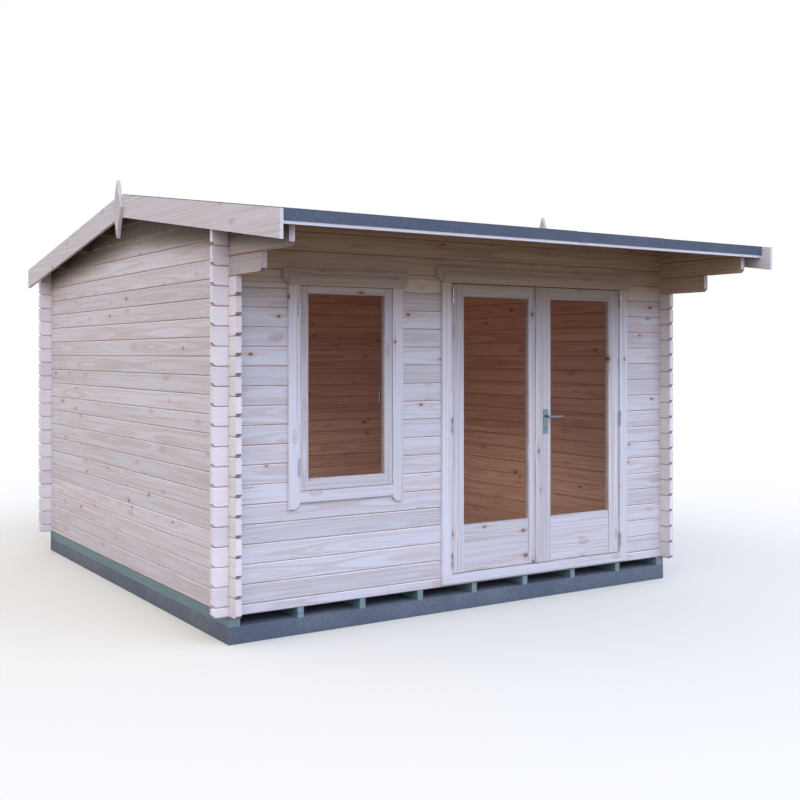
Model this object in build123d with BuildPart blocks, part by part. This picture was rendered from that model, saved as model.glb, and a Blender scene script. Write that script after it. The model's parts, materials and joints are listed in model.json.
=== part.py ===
from build123d import *
import os

os.makedirs("parts", exist_ok=True)

# A log cabin with a front canopy, in millimetres. +X is to the right seen from the front,
# the front faces -Y and +Z is up. The origin is on the ground, under the middle of the ridge.

# Base
plinth_height = 100.0
bearer_height = 60.0
edge_bearer_width = 70.0
inner_bearer_width = 40.0
inner_bearer_count = 7
floor_thickness = 20.0
floor_clearance = 2.0

# Log walls, measured between outer faces
wall_width = 3480.0
wall_depth = 3660.0
wall_front = -1518.0
log_thickness = 34.0
log_height = 114.0
log_gap = 0.3
log_bevel = 6.0
tongue_height = 8.0
tongue_play = 0.5
stub_length = 100.0
stub_corner = 22.0
notch_play = 0.15
side_row_count = 17
corbel_reaches = (424.0, 748.0)
gable_row_count = 4
gable_tail = 12.0
front_row_count = 20
rows_beside_door = 17

# Roof
ridge_height = 2740.0
roof_half_run = 2330.0
roof_rise = 348.0
felt_thickness = 4.0
felt_turn_down = 60.0
board_thickness = 17.0
fascia_thickness = 20.0
fascia_height = 77.0
barge_thickness = 20.0
barge_height = 153.0
barge_past_felt = 70.0
barge_mitre_gap = 1.0
purlin_width = 45.0
purlin_height = 125.0
purlin_lines = (-1050.0, -545.0, 0.0, 545.0, 1050.0, 1615.0)
finial_top = 2834.0
finial_wide = 2647.0
finial_bottom = 2442.0
finial_width = 149.0
finial_thickness = 24.0

# Trims around window and door, on the outer face
trim_thickness = 18.0
head_thickness = 26.0
trim_width = 75.0
head_height = 98.0
head_overhang = 37.0
head_corner = 35.0
head_strip_height = 56.0
head_strip_thickness = 8.0
trim_toe_corner = 26.0
frame_wall = 35.0
frame_depth = 70.0

# Window, heights above the wall's foot
window_left = -1293.0
window_width = 650.0
window_foot = 688.0
window_height = 1216.0
sash_gap = 2.0
sash_stile = 57.0
sash_foot_rail = 64.0
sash_head_rail = 43.0
sash_thickness = 40.0
sash_recess = 6.0
stop_width = 15.0
stop_depth = 20.0
glass_thickness = 6.0
pane_recess = 8.0
apron_height = 66.0
apron_gap = 2.0
side_trim_tail = 104.0
window_hinge_heights = (830.0, 1772.0)
catch_plate = (22.0, 6.0, 62.0)
catch_grip = (14.0, 16.0, 30.0)
catch_height = 1231.0
catch_inset = 27.0

# Double door, heights above the wall's foot
door_left = -193.0
door_width = 1477.0
door_head = 1956.0
door_gap = 6.0
sill_board_foot = 15.0
sill_board_top = 76.0
leaf_thickness = 40.0
leaf_recess = 6.0
leaf_stile = 92.0
leaf_head_rail = 75.0
leaf_panel_height = 300.0
leaf_panel_recess = 8.0
leaf_edge_bevel = 3.0
hinge_heights = (170.0, 1040.0, 1878.0)
hinge_radius = 7.0
hinge_sides = 12
hinge_length = 108.0
hinge_axial_gap = 1.0
hinge_standoff = 12.0
hinge_arm_inner = 3.0
hinge_arm_outer = 12.0
hinge_arm_height = 30.0
hinge_pin_radius = 4.0
hinge_pin_length = 44.0
hinge_bore_play = 0.05
hinge_bore_depth = 46.0

# Lever handle on the right leaf
handle_inset = 48.0
handle_height = 1038.0
handle_plate = (40.0, 4.0, 167.0)
lever_height = 1072.0
lever_radius = 8.0
lever_play = 0.08
lever_backset = 0.5
lever_reach = 46.0
lever_length = 118.0

half_width = wall_width / 2
half_log = log_thickness / 2
half_row = log_height / 2
half_flat = half_log - log_bevel
wall_foot = plinth_height + bearer_height
wall_back = wall_front + wall_depth
wall_mid = wall_front + wall_depth / 2
front_mid = wall_front + half_log
back_mid = wall_back - half_log
side_mid = half_width - half_log
log_end = half_width + stub_length
inner_x = half_width - log_thickness - notch_play
inner_front = wall_front + log_thickness + notch_play
inner_back = wall_back - log_thickness - notch_play
roof_slope = roof_rise / roof_half_run
roof_build_up = felt_thickness + board_thickness
barge_inner = log_end
barge_outer = barge_inner + barge_thickness
trim_face = wall_front - trim_thickness
eaves_z = ridge_height - roof_rise
felt_front = -roof_half_run
fascia_face = felt_front + felt_thickness
sky = ridge_height + roof_rise
leaf_front = trim_face + leaf_recess
leaf_back = leaf_front + leaf_thickness
door_right = door_left + door_width
door_mid = door_left + door_width / 2
window_right = window_left + window_width
leaf_foot_z = wall_foot + sill_board_top + door_gap
leaf_top_z = wall_foot + door_head - door_gap
hinge_y = trim_face - hinge_standoff
row_foot = [wall_foot + half_row + log_height * i for i in range(front_row_count)]
side_count = side_row_count + len(corbel_reaches) + gable_row_count
side_foot = [wall_foot + log_height * i for i in range(side_count)]
beside_feet = row_foot[:rows_beside_door]
over_feet = row_foot[rows_beside_door:]
wall_feet = side_foot[:side_row_count]
corbel_feet = side_foot[side_row_count:side_row_count + len(corbel_reaches)]
gable_feet = side_foot[side_row_count + len(corbel_reaches):]


def save(part, name):
    part.label = name
    export_step(part, f"parts/{name}.step")


def roof_top(y):
    return ridge_height - abs(y) * roof_slope


def roof_under(y):
    return roof_top(y) - roof_build_up


def bevelled_log(middle, foot, height):
    """Draw one log's end section with its four bevelled edges."""
    top = foot + height - log_gap
    polygon([
        (middle - half_log, foot + log_bevel),
        (middle - half_flat, foot),
        (middle + half_flat, foot),
        (middle + half_log, foot + log_bevel),
        (middle + half_log, top - log_bevel),
        (middle + half_flat, top),
        (middle - half_flat, top),
        (middle - half_log, top - log_bevel),
    ])


def tongue(middle, foot, height):
    """Draw the tongue on the top of a log."""
    top = foot + height - log_gap
    polygon([(middle - half_flat, top), (middle + half_flat, top), (middle, top + tongue_height)])


def groove(middle, foot):
    """Draw the groove under a log, which takes the tongue of the log below."""
    apex = foot + tongue_height + tongue_play
    polygon([(middle - half_flat, foot), (middle + half_flat, foot), (middle, apex)])


def polygon(points):
    """Draw a closed outline given by its corners."""
    Polygon(*points, align=None)


def box_sketch(low, high, mode=Mode.ADD):
    """Draw a rectangle from its low corner to its high corner, or cut it out."""
    with Locations(((low[0] + high[0]) / 2, (low[1] + high[1]) / 2)):
        Rectangle(high[0] - low[0], high[1] - low[1], mode=mode)


def stub_corners(end, inward, feet):
    """Draw the cut lower corners of the log ends that stand at one coordinate."""
    for foot in feet:
        polygon([(end, foot), (end + inward * stub_corner, foot), (end, foot + stub_corner)])


def crossing_notches(middles, feet, height=half_row):
    """Draw the notches under logs that sit over the logs that they cross."""
    half = half_log + notch_play
    for middle in middles:
        for foot in feet:
            box_sketch((middle - half, foot - log_gap), (middle + half, foot + height + notch_play))


def top_notches(middles, level):
    """Draw the notches above a level, where the log of the other wall runs through."""
    half = half_log + notch_play
    for middle in middles:
        box_sketch((middle - half, level), (middle + half, sky))


def roof_space(low, high):
    """Draw everything above the underside of the roof boards, between two ends."""
    polygon([(low, roof_under(low)), (0, roof_under(0)), (high, roof_under(high)), (high, sky), (low, sky)])


def purlin_slots():
    """Draw the slots in which the purlins lie in the gable logs."""
    half = purlin_width / 2 + notch_play
    for y in purlin_lines:
        box_sketch((y - half, roof_under(y) - purlin_height - notch_play), (y + half, sky))


# Plinth, bearers and floor
with BuildPart() as plinth:
    with Locations((0, wall_mid, plinth_height / 2)):
        Box(wall_width, wall_depth, plinth_height)
save(plinth.part, "concrete_plinth")

bearer_z = plinth_height + bearer_height / 2
edge_x = half_width - edge_bearer_width / 2
bearer_step = 2 * edge_x / (inner_bearer_count + 1)
with BuildPart() as bearers:
    with Locations((-edge_x, wall_mid, bearer_z), (edge_x, wall_mid, bearer_z)):
        Box(edge_bearer_width, wall_depth, bearer_height)
    inner_bearers = [-edge_x + bearer_step * (i + 1) for i in range(inner_bearer_count)]
    with Locations([(x, wall_mid, bearer_z) for x in inner_bearers]):
        Box(inner_bearer_width, wall_depth, bearer_height)
save(bearers.part, "floor_bearers")

with BuildPart() as floor:
    with Locations((0, wall_mid, wall_foot + floor_thickness / 2)):
        Box(wall_width - 2 * (log_thickness + floor_clearance),
            wall_depth - 2 * (log_thickness + floor_clearance), floor_thickness)
save(floor.part, "floor_boards")

# Front wall: the half log under the door, the logs beside it and the logs over it.
# Tongues and grooves run between the crossings, and the ends past a crossing are plain.
front_plane = Plane.XZ.offset(-front_mid)
opening_left = door_left - frame_wall
opening_right = door_right + frame_wall

with BuildPart() as sill_log:
    with BuildSketch(Plane.YZ):
        bevelled_log(front_mid, wall_foot, half_row)
    extrude(amount=log_end, both=True)
    for low, high in ((-inner_x, opening_left), (opening_right, inner_x)):
        with BuildSketch(Plane.YZ.offset(low)):
            tongue(front_mid, wall_foot, half_row)
        extrude(amount=high - low)
    with BuildSketch(front_plane):
        stub_corners(-log_end, 1, [wall_foot])
        stub_corners(log_end, -1, [wall_foot])
    extrude(amount=log_thickness, both=True, mode=Mode.SUBTRACT)
save(sill_log.part, "front_sill_log")

with BuildPart() as front_left:
    with BuildSketch(Plane.YZ.offset(-log_end)):
        for foot in beside_feet:
            bevelled_log(front_mid, foot, log_height)
    extrude(amount=log_end + opening_left)
    with BuildSketch(Plane.YZ.offset(-inner_x)):
        for foot in beside_feet:
            groove(front_mid, foot)
    extrude(amount=inner_x + opening_left, mode=Mode.SUBTRACT)
    with BuildSketch(Plane.YZ.offset(-inner_x)):
        for foot in beside_feet:
            tongue(front_mid, foot, log_height)
    extrude(amount=inner_x + opening_left)
    with BuildSketch(front_plane):
        crossing_notches((-side_mid,), beside_feet)
        stub_corners(-log_end, 1, beside_feet)
        box_sketch((window_left - frame_wall, wall_foot + window_foot - frame_wall),
                   (window_right + frame_wall, wall_foot + window_foot + window_height + frame_wall))
    extrude(amount=log_thickness, both=True, mode=Mode.SUBTRACT)
save(front_left.part, "front_wall_left")

with BuildPart() as front_right:
    with BuildSketch(Plane.YZ.offset(opening_right)):
        for foot in beside_feet:
            bevelled_log(front_mid, foot, log_height)
    extrude(amount=log_end - opening_right)
    with BuildSketch(Plane.YZ.offset(opening_right)):
        for foot in beside_feet:
            groove(front_mid, foot)
    extrude(amount=inner_x - opening_right, mode=Mode.SUBTRACT)
    with BuildSketch(Plane.YZ.offset(opening_right)):
        for foot in beside_feet:
            tongue(front_mid, foot, log_height)
    extrude(amount=inner_x - opening_right)
    with BuildSketch(front_plane):
        crossing_notches((side_mid,), beside_feet)
        stub_corners(log_end, -1, beside_feet)
    extrude(amount=log_thickness, both=True, mode=Mode.SUBTRACT)
save(front_right.part, "front_wall_right")

# The top front log and the gable log over it share the height that is left under the roof
halving_z = (gable_feet[1] + roof_under(wall_front)) / 2
with BuildPart() as front_over:
    with BuildSketch(Plane.YZ):
        for foot in over_feet:
            bevelled_log(front_mid, foot, log_height)
    extrude(amount=log_end, both=True)
    with BuildSketch(Plane.YZ):
        for foot in over_feet:
            groove(front_mid, foot)
    extrude(amount=inner_x, both=True, mode=Mode.SUBTRACT)
    with BuildSketch(Plane.YZ):
        for foot in over_feet[:-1]:
            tongue(front_mid, foot, log_height)
    extrude(amount=inner_x, both=True)
    with BuildSketch(front_plane):
        crossing_notches((-side_mid, side_mid), over_feet)
        top_notches((-side_mid, side_mid), halving_z - log_gap)
        stub_corners(-log_end, 1, over_feet)
        stub_corners(log_end, -1, over_feet)
    extrude(amount=log_thickness, both=True, mode=Mode.SUBTRACT)
    with BuildSketch(Plane.YZ):
        roof_space(felt_front, roof_half_run)
    extrude(amount=log_end, both=True, mode=Mode.SUBTRACT)
save(front_over.part, "front_wall_top")

# Back wall: a half log, the rows that fit under the roof and a strip that closes the last gap
back_feet = [foot for foot in row_foot if foot + half_row < roof_under(wall_back)]
strip_foot = back_feet[-1] + log_height
with BuildPart() as back_wall:
    with BuildSketch(Plane.YZ):
        bevelled_log(back_mid, wall_foot, half_row)
        for foot in back_feet:
            bevelled_log(back_mid, foot, log_height)
    extrude(amount=log_end, both=True)
    with BuildSketch(Plane.YZ):
        bevelled_log(back_mid, strip_foot, log_height)
    extrude(amount=inner_x, both=True)
    with BuildSketch(Plane.YZ):
        for foot in back_feet + [strip_foot]:
            groove(back_mid, foot)
    extrude(amount=inner_x, both=True, mode=Mode.SUBTRACT)
    with BuildSketch(Plane.YZ):
        tongue(back_mid, wall_foot, half_row)
        for foot in back_feet:
            tongue(back_mid, foot, log_height)
    extrude(amount=inner_x, both=True)
    with BuildSketch(Plane.XZ.offset(-back_mid)):
        crossing_notches((-side_mid, side_mid), back_feet)
        stub_corners(-log_end, 1, [wall_foot] + back_feet)
        stub_corners(log_end, -1, [wall_foot] + back_feet)
    extrude(amount=log_thickness, both=True, mode=Mode.SUBTRACT)
    with BuildSketch(Plane.YZ):
        roof_space(felt_front, roof_half_run)
    extrude(amount=log_end, both=True, mode=Mode.SUBTRACT)
save(back_wall.part, "back_wall_logs")

# Side walls: full logs, corbel logs that reach forward in steps, gable logs under the roof
low_end = wall_front - stub_length
high_end = wall_back + stub_length
canopy_end = wall_front - max(corbel_reaches)
for side, side_name in ((-1, "left"), (1, "right")):
    middle = side * side_mid
    side_plane = Plane.YZ.offset(middle)

    with BuildPart() as side_wall:
        with BuildSketch(Plane.XZ.offset(-low_end)):
            for foot in wall_feet:
                bevelled_log(middle, foot, log_height)
        extrude(amount=low_end - high_end)
        with BuildSketch(Plane.XZ.offset(-inner_front)):
            for foot in wall_feet[1:]:
                groove(middle, foot)
        extrude(amount=inner_front - inner_back, mode=Mode.SUBTRACT)
        with BuildSketch(Plane.XZ.offset(-inner_front)):
            for foot in wall_feet:
                tongue(middle, foot, log_height)
        extrude(amount=inner_front - inner_back)
        with BuildSketch(side_plane):
            crossing_notches((front_mid, back_mid), wall_feet)
            stub_corners(low_end, 1, wall_feet)
            stub_corners(high_end, -1, wall_feet)
        extrude(amount=log_thickness, both=True, mode=Mode.SUBTRACT)
    save(side_wall.part, f"{side_name}_wall_logs")

    with BuildPart() as corbels:
        for foot, reach in zip(corbel_feet, corbel_reaches):
            with BuildSketch(Plane.XZ.offset(reach - wall_front)):
                bevelled_log(middle, foot, log_height)
            extrude(amount=wall_front - reach - high_end)
        with BuildSketch(Plane.XZ.offset(-inner_front)):
            for foot in corbel_feet:
                groove(middle, foot)
        extrude(amount=inner_front - inner_back, mode=Mode.SUBTRACT)
        with BuildSketch(Plane.XZ.offset(-inner_front)):
            for foot in corbel_feet:
                tongue(middle, foot, log_height)
        extrude(amount=inner_front - inner_back)
        with BuildSketch(side_plane):
            crossing_notches((front_mid, back_mid), corbel_feet)
            for foot, reach in zip(corbel_feet, corbel_reaches):
                stub_corners(wall_front - reach, 1, [foot])
            stub_corners(high_end, -1, corbel_feet)
        extrude(amount=log_thickness, both=True, mode=Mode.SUBTRACT)
    save(corbels.part, f"{side_name}_corbel_logs")

    # A gable log ends where the roof leaves too little of its height
    tail_reaches = [(roof_under(0) - foot - gable_tail) / roof_slope for foot in gable_feet]
    gable_spans = [(max(canopy_end, -reach), min(high_end, reach)) for reach in tail_reaches]
    with BuildPart() as gable:
        for foot, (low, high) in zip(gable_feet, gable_spans):
            with BuildSketch(Plane.XZ.offset(-low)):
                bevelled_log(middle, foot, log_height)
            extrude(amount=low - high)
        with BuildSketch(Plane.XZ.offset(-inner_front)):
            for foot in gable_feet:
                groove(middle, foot)
        extrude(amount=inner_front - inner_back, mode=Mode.SUBTRACT)
        for foot, (low, high) in zip(gable_feet[:-1], gable_spans[1:]):
            start = max(low, inner_front)
            with BuildSketch(Plane.XZ.offset(-start)):
                tongue(middle, foot, log_height)
            extrude(amount=start - high)
        with BuildSketch(side_plane):
            crossing_notches((front_mid, back_mid), gable_feet[:1])
            crossing_notches((front_mid,), gable_feet[1:2], halving_z - gable_feet[1])
            roof_space(felt_front, roof_half_run)
            purlin_slots()
        extrude(amount=log_thickness, both=True, mode=Mode.SUBTRACT)
    save(gable.part, f"{side_name}_gable_logs")

# Roof: purlins, boards, felt, fascias, bargeboards and finials
with BuildPart() as purlins:
    with BuildSketch(Plane.YZ):
        for y in purlin_lines:
            low = y - purlin_width / 2
            high = y + purlin_width / 2
            foot = roof_under(y) - purlin_height
            crown = [(0, roof_under(0))] if y == 0 else []
            polygon([(low, foot), (high, foot), (high, roof_under(high)), *crown, (low, roof_under(low))])
    extrude(amount=barge_inner, both=True)
save(purlins.part, "roof_purlins")

for side, side_name in ((-1, "front"), (1, "back")):
    eaves = side * abs(fascia_face)
    with BuildPart() as boards:
        with BuildSketch(Plane.YZ):
            polygon([(0, roof_under(0)), (0, roof_top(0) - felt_thickness),
                     (eaves, roof_top(eaves) - felt_thickness), (eaves, roof_under(eaves))])
        extrude(amount=barge_inner, both=True)
    save(boards.part, f"{side_name}_roof_boards")

felt_foot = eaves_z - felt_turn_down
with BuildPart() as felt:
    with BuildSketch(Plane.YZ):
        polygon([
            (felt_front, felt_foot), (felt_front, eaves_z), (0, ridge_height), (-felt_front, eaves_z),
            (-felt_front, felt_foot), (-fascia_face, felt_foot),
            (-fascia_face, roof_top(fascia_face) - felt_thickness), (0, ridge_height - felt_thickness),
            (fascia_face, roof_top(fascia_face) - felt_thickness), (fascia_face, felt_foot),
        ])
    extrude(amount=barge_inner, both=True)
save(felt.part, "roof_felt")

fascia_foot = eaves_z - fascia_height
fascia_back = fascia_face + fascia_thickness
with BuildPart() as fascias:
    with BuildSketch(Plane.YZ):
        for side in (-1, 1):
            outer = side * abs(fascia_face)
            inner = side * abs(fascia_back)
            polygon([(outer, fascia_foot), (outer, roof_under(outer)),
                     (inner, roof_under(inner)), (inner, fascia_foot)])
    extrude(amount=barge_inner, both=True)
save(fascias.part, "eaves_fascias")

barge_end = roof_half_run + barge_past_felt
for side, side_name in ((-1, "left"), (1, "right")):
    with BuildPart() as barges:
        with BuildSketch(Plane.YZ.offset(side * barge_inner)):
            for way in (-1, 1):
                near = way * barge_mitre_gap / 2
                far = way * barge_end
                polygon([(near, roof_top(near)), (far, roof_top(far)),
                         (far, roof_top(far) - barge_height), (near, roof_top(near) - barge_height)])
        extrude(amount=side * barge_thickness)
    save(barges.part, f"{side_name}_bargeboards")

with BuildPart() as finials:
    for side in (-1, 1):
        with BuildSketch(Plane.YZ.offset(side * barge_outer)):
            polygon([(0, finial_top), (finial_width / 2, finial_wide),
                     (0, finial_bottom), (-finial_width / 2, finial_wide)])
        extrude(amount=side * finial_thickness)
save(finials.part, "gable_finials")


def head_trim(left, right, foot):
    """Draw a head board whose lower corners are cut back to the side trims."""
    top = foot + head_height
    polygon([
        (left - head_overhang, top), (left - head_overhang, foot + head_corner), (left, foot),
        (right, foot), (right + head_overhang, foot + head_corner), (right + head_overhang, top),
    ])


wall_face = Plane.XZ.offset(-wall_front)
head_face = Plane.XZ.offset(head_thickness - wall_front)

# Window: frame, fixed sash, pane and trims
window_foot_z = wall_foot + window_foot
window_top_z = window_foot_z + window_height
sash_front = trim_face + sash_recess
sash_back = sash_front + sash_thickness
with BuildPart() as window_frame:
    with BuildSketch(wall_face):
        box_sketch((window_left - frame_wall, window_foot_z - frame_wall),
                   (window_right + frame_wall, window_top_z + frame_wall))
    extrude(amount=-frame_depth)
    with BuildSketch(wall_face):
        box_sketch((window_left, window_foot_z), (window_right, window_top_z))
    extrude(amount=wall_front - sash_back, mode=Mode.SUBTRACT)
    with BuildSketch(wall_face):
        box_sketch((window_left + stop_width, window_foot_z + stop_width),
                   (window_right - stop_width, window_top_z - stop_width))
    extrude(amount=-frame_depth, mode=Mode.SUBTRACT)
save(window_frame.part, "window_frame")

pane_left = window_left + sash_stile
pane_right = window_right - sash_stile
pane_foot = window_foot_z + sash_foot_rail
pane_top = window_top_z - sash_head_rail
with BuildPart() as window_sash:
    with BuildSketch(Plane.XZ.offset(-sash_front)):
        box_sketch((window_left + sash_gap, window_foot_z + sash_gap),
                   (window_right - sash_gap, window_top_z - sash_gap))
        box_sketch((pane_left, pane_foot), (pane_right, pane_top), mode=Mode.SUBTRACT)
    extrude(amount=-sash_thickness)
save(window_sash.part, "window_sash")

with BuildPart() as window_glass:
    with BuildSketch(Plane.XZ.offset(-sash_front - pane_recess)):
        box_sketch((pane_left, pane_foot), (pane_right, pane_top))
    extrude(amount=-glass_thickness)
save(window_glass.part, "window_glass")

with BuildPart() as window_head:
    with BuildSketch(wall_face):
        head_trim(window_left - trim_width, window_right + trim_width, window_top_z)
    extrude(amount=head_thickness)
    with BuildSketch(head_face):
        box_sketch((window_left - trim_width, window_top_z),
                   (window_right + trim_width, window_top_z + head_strip_height))
    extrude(amount=head_strip_thickness)
save(window_head.part, "window_head_trim")

trim_tail_z = window_foot_z - side_trim_tail
with BuildPart() as window_sides:
    with BuildSketch(wall_face):
        for inner, outward in ((window_left, -1), (window_right, 1)):
            outer = inner + outward * trim_width
            toe = inner + outward * trim_toe_corner
            polygon([(outer, window_top_z), (outer, trim_tail_z), (toe, trim_tail_z),
                     (inner, trim_tail_z + trim_toe_corner), (inner, window_top_z)])
    extrude(amount=trim_thickness)
save(window_sides.part, "window_side_trims")

apron_top = window_foot_z - apron_gap
with BuildPart() as window_apron:
    with BuildSketch(wall_face):
        box_sketch((window_left, apron_top - apron_height), (window_right, apron_top))
    extrude(amount=trim_thickness)
save(window_apron.part, "window_apron_trim")

with BuildPart() as window_hinges:
    for height in window_hinge_heights:
        hinge_z = wall_foot + height
        with BuildSketch(Plane.XY.offset(hinge_z)):
            with Locations((window_left - hinge_radius, trim_face - hinge_radius)):
                RegularPolygon(hinge_radius, hinge_sides)
        extrude(amount=hinge_length / 2, both=True)
        with Locations((window_left - hinge_radius, trim_face - hinge_radius / 2, hinge_z)):
            Box(2 * hinge_arm_inner, hinge_radius, hinge_arm_height)
save(window_hinges.part, "window_hinges")

catch_x = window_right - catch_inset
catch_z = wall_foot + catch_height
with BuildPart() as window_catch:
    with Locations((catch_x, sash_back + catch_plate[1] / 2, catch_z)):
        Box(*catch_plate)
    with Locations((catch_x, sash_back + catch_plate[1] + catch_grip[1] / 2, catch_z)):
        Box(*catch_grip)
save(window_catch.part, "window_catch")

# Door surround: frame with stops, threshold and trims
sill_top_z = wall_foot + sill_board_top
door_head_z = wall_foot + door_head
stop_front = leaf_back + door_gap
frame_top_z = row_foot[rows_beside_door]
with BuildPart() as door_frame:
    with BuildSketch(wall_face):
        box_sketch((opening_left, sill_top_z), (opening_right, frame_top_z))
        box_sketch((door_left, sill_top_z), (door_right, door_head_z), mode=Mode.SUBTRACT)
    extrude(amount=-frame_depth)
    with BuildSketch(Plane.XZ.offset(-stop_front)):
        box_sketch((door_left, sill_top_z), (door_right, door_head_z))
        box_sketch((door_left + stop_width, sill_top_z),
                   (door_right - stop_width, door_head_z - stop_width), mode=Mode.SUBTRACT)
    extrude(amount=-stop_depth)
save(door_frame.part, "door_frame")

threshold_z = wall_foot + half_row
with BuildPart() as threshold:
    with BuildSketch(Plane.YZ.offset(opening_left)):
        box_sketch((wall_front, threshold_z), (wall_front + frame_depth, sill_top_z))
    extrude(amount=opening_right - opening_left)
    with BuildSketch(wall_face):
        box_sketch((door_left - trim_width, wall_foot + sill_board_foot),
                   (door_right + trim_width, sill_top_z))
    extrude(amount=trim_thickness)
save(threshold.part, "door_threshold")

with BuildPart() as door_sides:
    with BuildSketch(wall_face):
        box_sketch((door_left - trim_width, sill_top_z), (door_left, door_head_z))
        box_sketch((door_right, sill_top_z), (door_right + trim_width, door_head_z))
    extrude(amount=trim_thickness)
save(door_sides.part, "door_side_trims")

with BuildPart() as door_head_board:
    with BuildSketch(wall_face):
        head_trim(door_left - trim_width, door_right + trim_width, door_head_z)
    extrude(amount=head_thickness)
    with BuildSketch(head_face):
        box_sketch((door_left - trim_width, door_head_z),
                   (door_right + trim_width, door_head_z + head_strip_height))
    extrude(amount=head_strip_thickness)
save(door_head_board.part, "door_head_trim")

# Lift-off hinges: the lower half with its pin is on the trim, the upper half on the leaf
half_hinge = (hinge_length - hinge_axial_gap) / 2
hinge_offset = door_gap / 2
with BuildPart() as hinge_pins:
    for axis_x, outward in ((door_left + hinge_offset, -1), (door_right - hinge_offset, 1)):
        for height in hinge_heights:
            foot = wall_foot + height - hinge_length / 2
            lower_mid = foot + half_hinge / 2
            with BuildSketch(Plane.XY.offset(foot)):
                with Locations((axis_x, hinge_y)):
                    RegularPolygon(hinge_radius, hinge_sides)
            extrude(amount=half_hinge)
            with Locations((axis_x, hinge_y, foot + half_hinge + hinge_pin_length / 2)):
                Cylinder(hinge_pin_radius, hinge_pin_length)
            arm_x = axis_x + outward * (hinge_arm_inner + hinge_arm_outer) / 2
            with Locations((arm_x, hinge_y + hinge_standoff / 2, lower_mid)):
                Box(hinge_arm_outer - hinge_arm_inner, hinge_standoff, hinge_arm_height)
save(hinge_pins.part, "door_hinge_pins")

# Door leaves
arm_depth = hinge_standoff + leaf_recess
for side, side_name in ((-1, "left"), (1, "right")):
    hinge_edge = door_mid + side * (door_width / 2 - door_gap)
    meeting_edge = door_mid + side * door_gap / 2
    leaf_low, leaf_high = sorted((hinge_edge, meeting_edge))
    panel_low = leaf_low + leaf_stile
    panel_high = leaf_high - leaf_stile
    panel_top = leaf_foot_z + leaf_panel_height
    leaf_plane = Plane.XZ.offset(-leaf_front)

    with BuildPart() as leaf:
        with BuildSketch(leaf_plane):
            box_sketch((leaf_low, leaf_foot_z), (leaf_high, leaf_top_z))
            box_sketch((panel_low, leaf_foot_z), (panel_high, leaf_top_z - leaf_head_rail),
                       mode=Mode.SUBTRACT)
        extrude(amount=-leaf_thickness)
        with BuildSketch(Plane.XY.offset(leaf_foot_z)):
            polygon([(meeting_edge, leaf_front), (meeting_edge, leaf_back),
                     (meeting_edge + side * leaf_edge_bevel, leaf_back)])
        extrude(amount=leaf_top_z - leaf_foot_z, mode=Mode.SUBTRACT)
    save(leaf.part, f"{side_name}_door_leaf")

    with BuildPart() as panel:
        with BuildSketch(Plane.XZ.offset(-leaf_front - leaf_panel_recess)):
            box_sketch((panel_low, leaf_foot_z), (panel_high, panel_top))
        extrude(amount=leaf_panel_recess - leaf_thickness)
    save(panel.part, f"{side_name}_door_panel")

    with BuildPart() as pane:
        with BuildSketch(Plane.XZ.offset(-leaf_front - pane_recess)):
            box_sketch((panel_low, panel_top), (panel_high, leaf_top_z - leaf_head_rail))
        extrude(amount=-glass_thickness)
    save(pane.part, f"{side_name}_door_glass")

    axis_x = hinge_edge + side * hinge_offset
    with BuildPart() as leaf_hinges:
        for height in hinge_heights:
            top = wall_foot + height + hinge_length / 2
            upper_mid = top - half_hinge / 2
            with BuildSketch(Plane.XY.offset(top)):
                with Locations((axis_x, hinge_y)):
                    RegularPolygon(hinge_radius, hinge_sides)
            extrude(amount=-half_hinge)
            arm_x = axis_x - side * (hinge_arm_inner + hinge_arm_outer) / 2
            with Locations((arm_x, hinge_y + arm_depth / 2, upper_mid)):
                Box(hinge_arm_outer - hinge_arm_inner, arm_depth, hinge_arm_height)
            with Locations((axis_x, hinge_y, top - half_hinge + hinge_bore_depth / 2)):
                Cylinder(hinge_pin_radius + hinge_bore_play, hinge_bore_depth, mode=Mode.SUBTRACT)
    save(leaf_hinges.part, f"{side_name}_door_hinges")

# Lever handle, on the stile of the right leaf that meets the left one
handle_x = door_mid + door_gap / 2 + handle_inset
plate_front = leaf_front - handle_plate[1]
lever_z = wall_foot + lever_height
with BuildPart() as plate:
    with Locations((handle_x, leaf_front - handle_plate[1] / 2, wall_foot + handle_height)):
        Box(*handle_plate)
    with BuildSketch(Plane.XZ.offset(-leaf_front)):
        with Locations((handle_x, lever_z)):
            Circle(lever_radius + lever_play)
    extrude(amount=handle_plate[1], mode=Mode.SUBTRACT)
save(plate.part, "door_handle_plate")

with BuildPart() as lever:
    with BuildSketch(Plane.XZ.offset(lever_backset - leaf_front)):
        with Locations((handle_x, lever_z)):
            Circle(lever_radius)
    extrude(amount=lever_reach)
    with BuildSketch(Plane.YZ.offset(handle_x)):
        with Locations((leaf_front - lever_backset - lever_reach + lever_radius, lever_z)):
            Circle(lever_radius)
    extrude(amount=lever_length)
save(lever.part, "door_lever")
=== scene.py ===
# %% [markdown]
# # A log cabin with a canopy
# The solids of the cabin come from a packed CAD model. This lesson loads them as a fixed frame, gives
# every piece of timber, felt, glass and metal its finish, and adds the small things that a joiner adds
# last: boards, beads, a cover strip, nails and screws. All lengths are in metres.

# %% Load the frame
import json
import math

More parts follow.
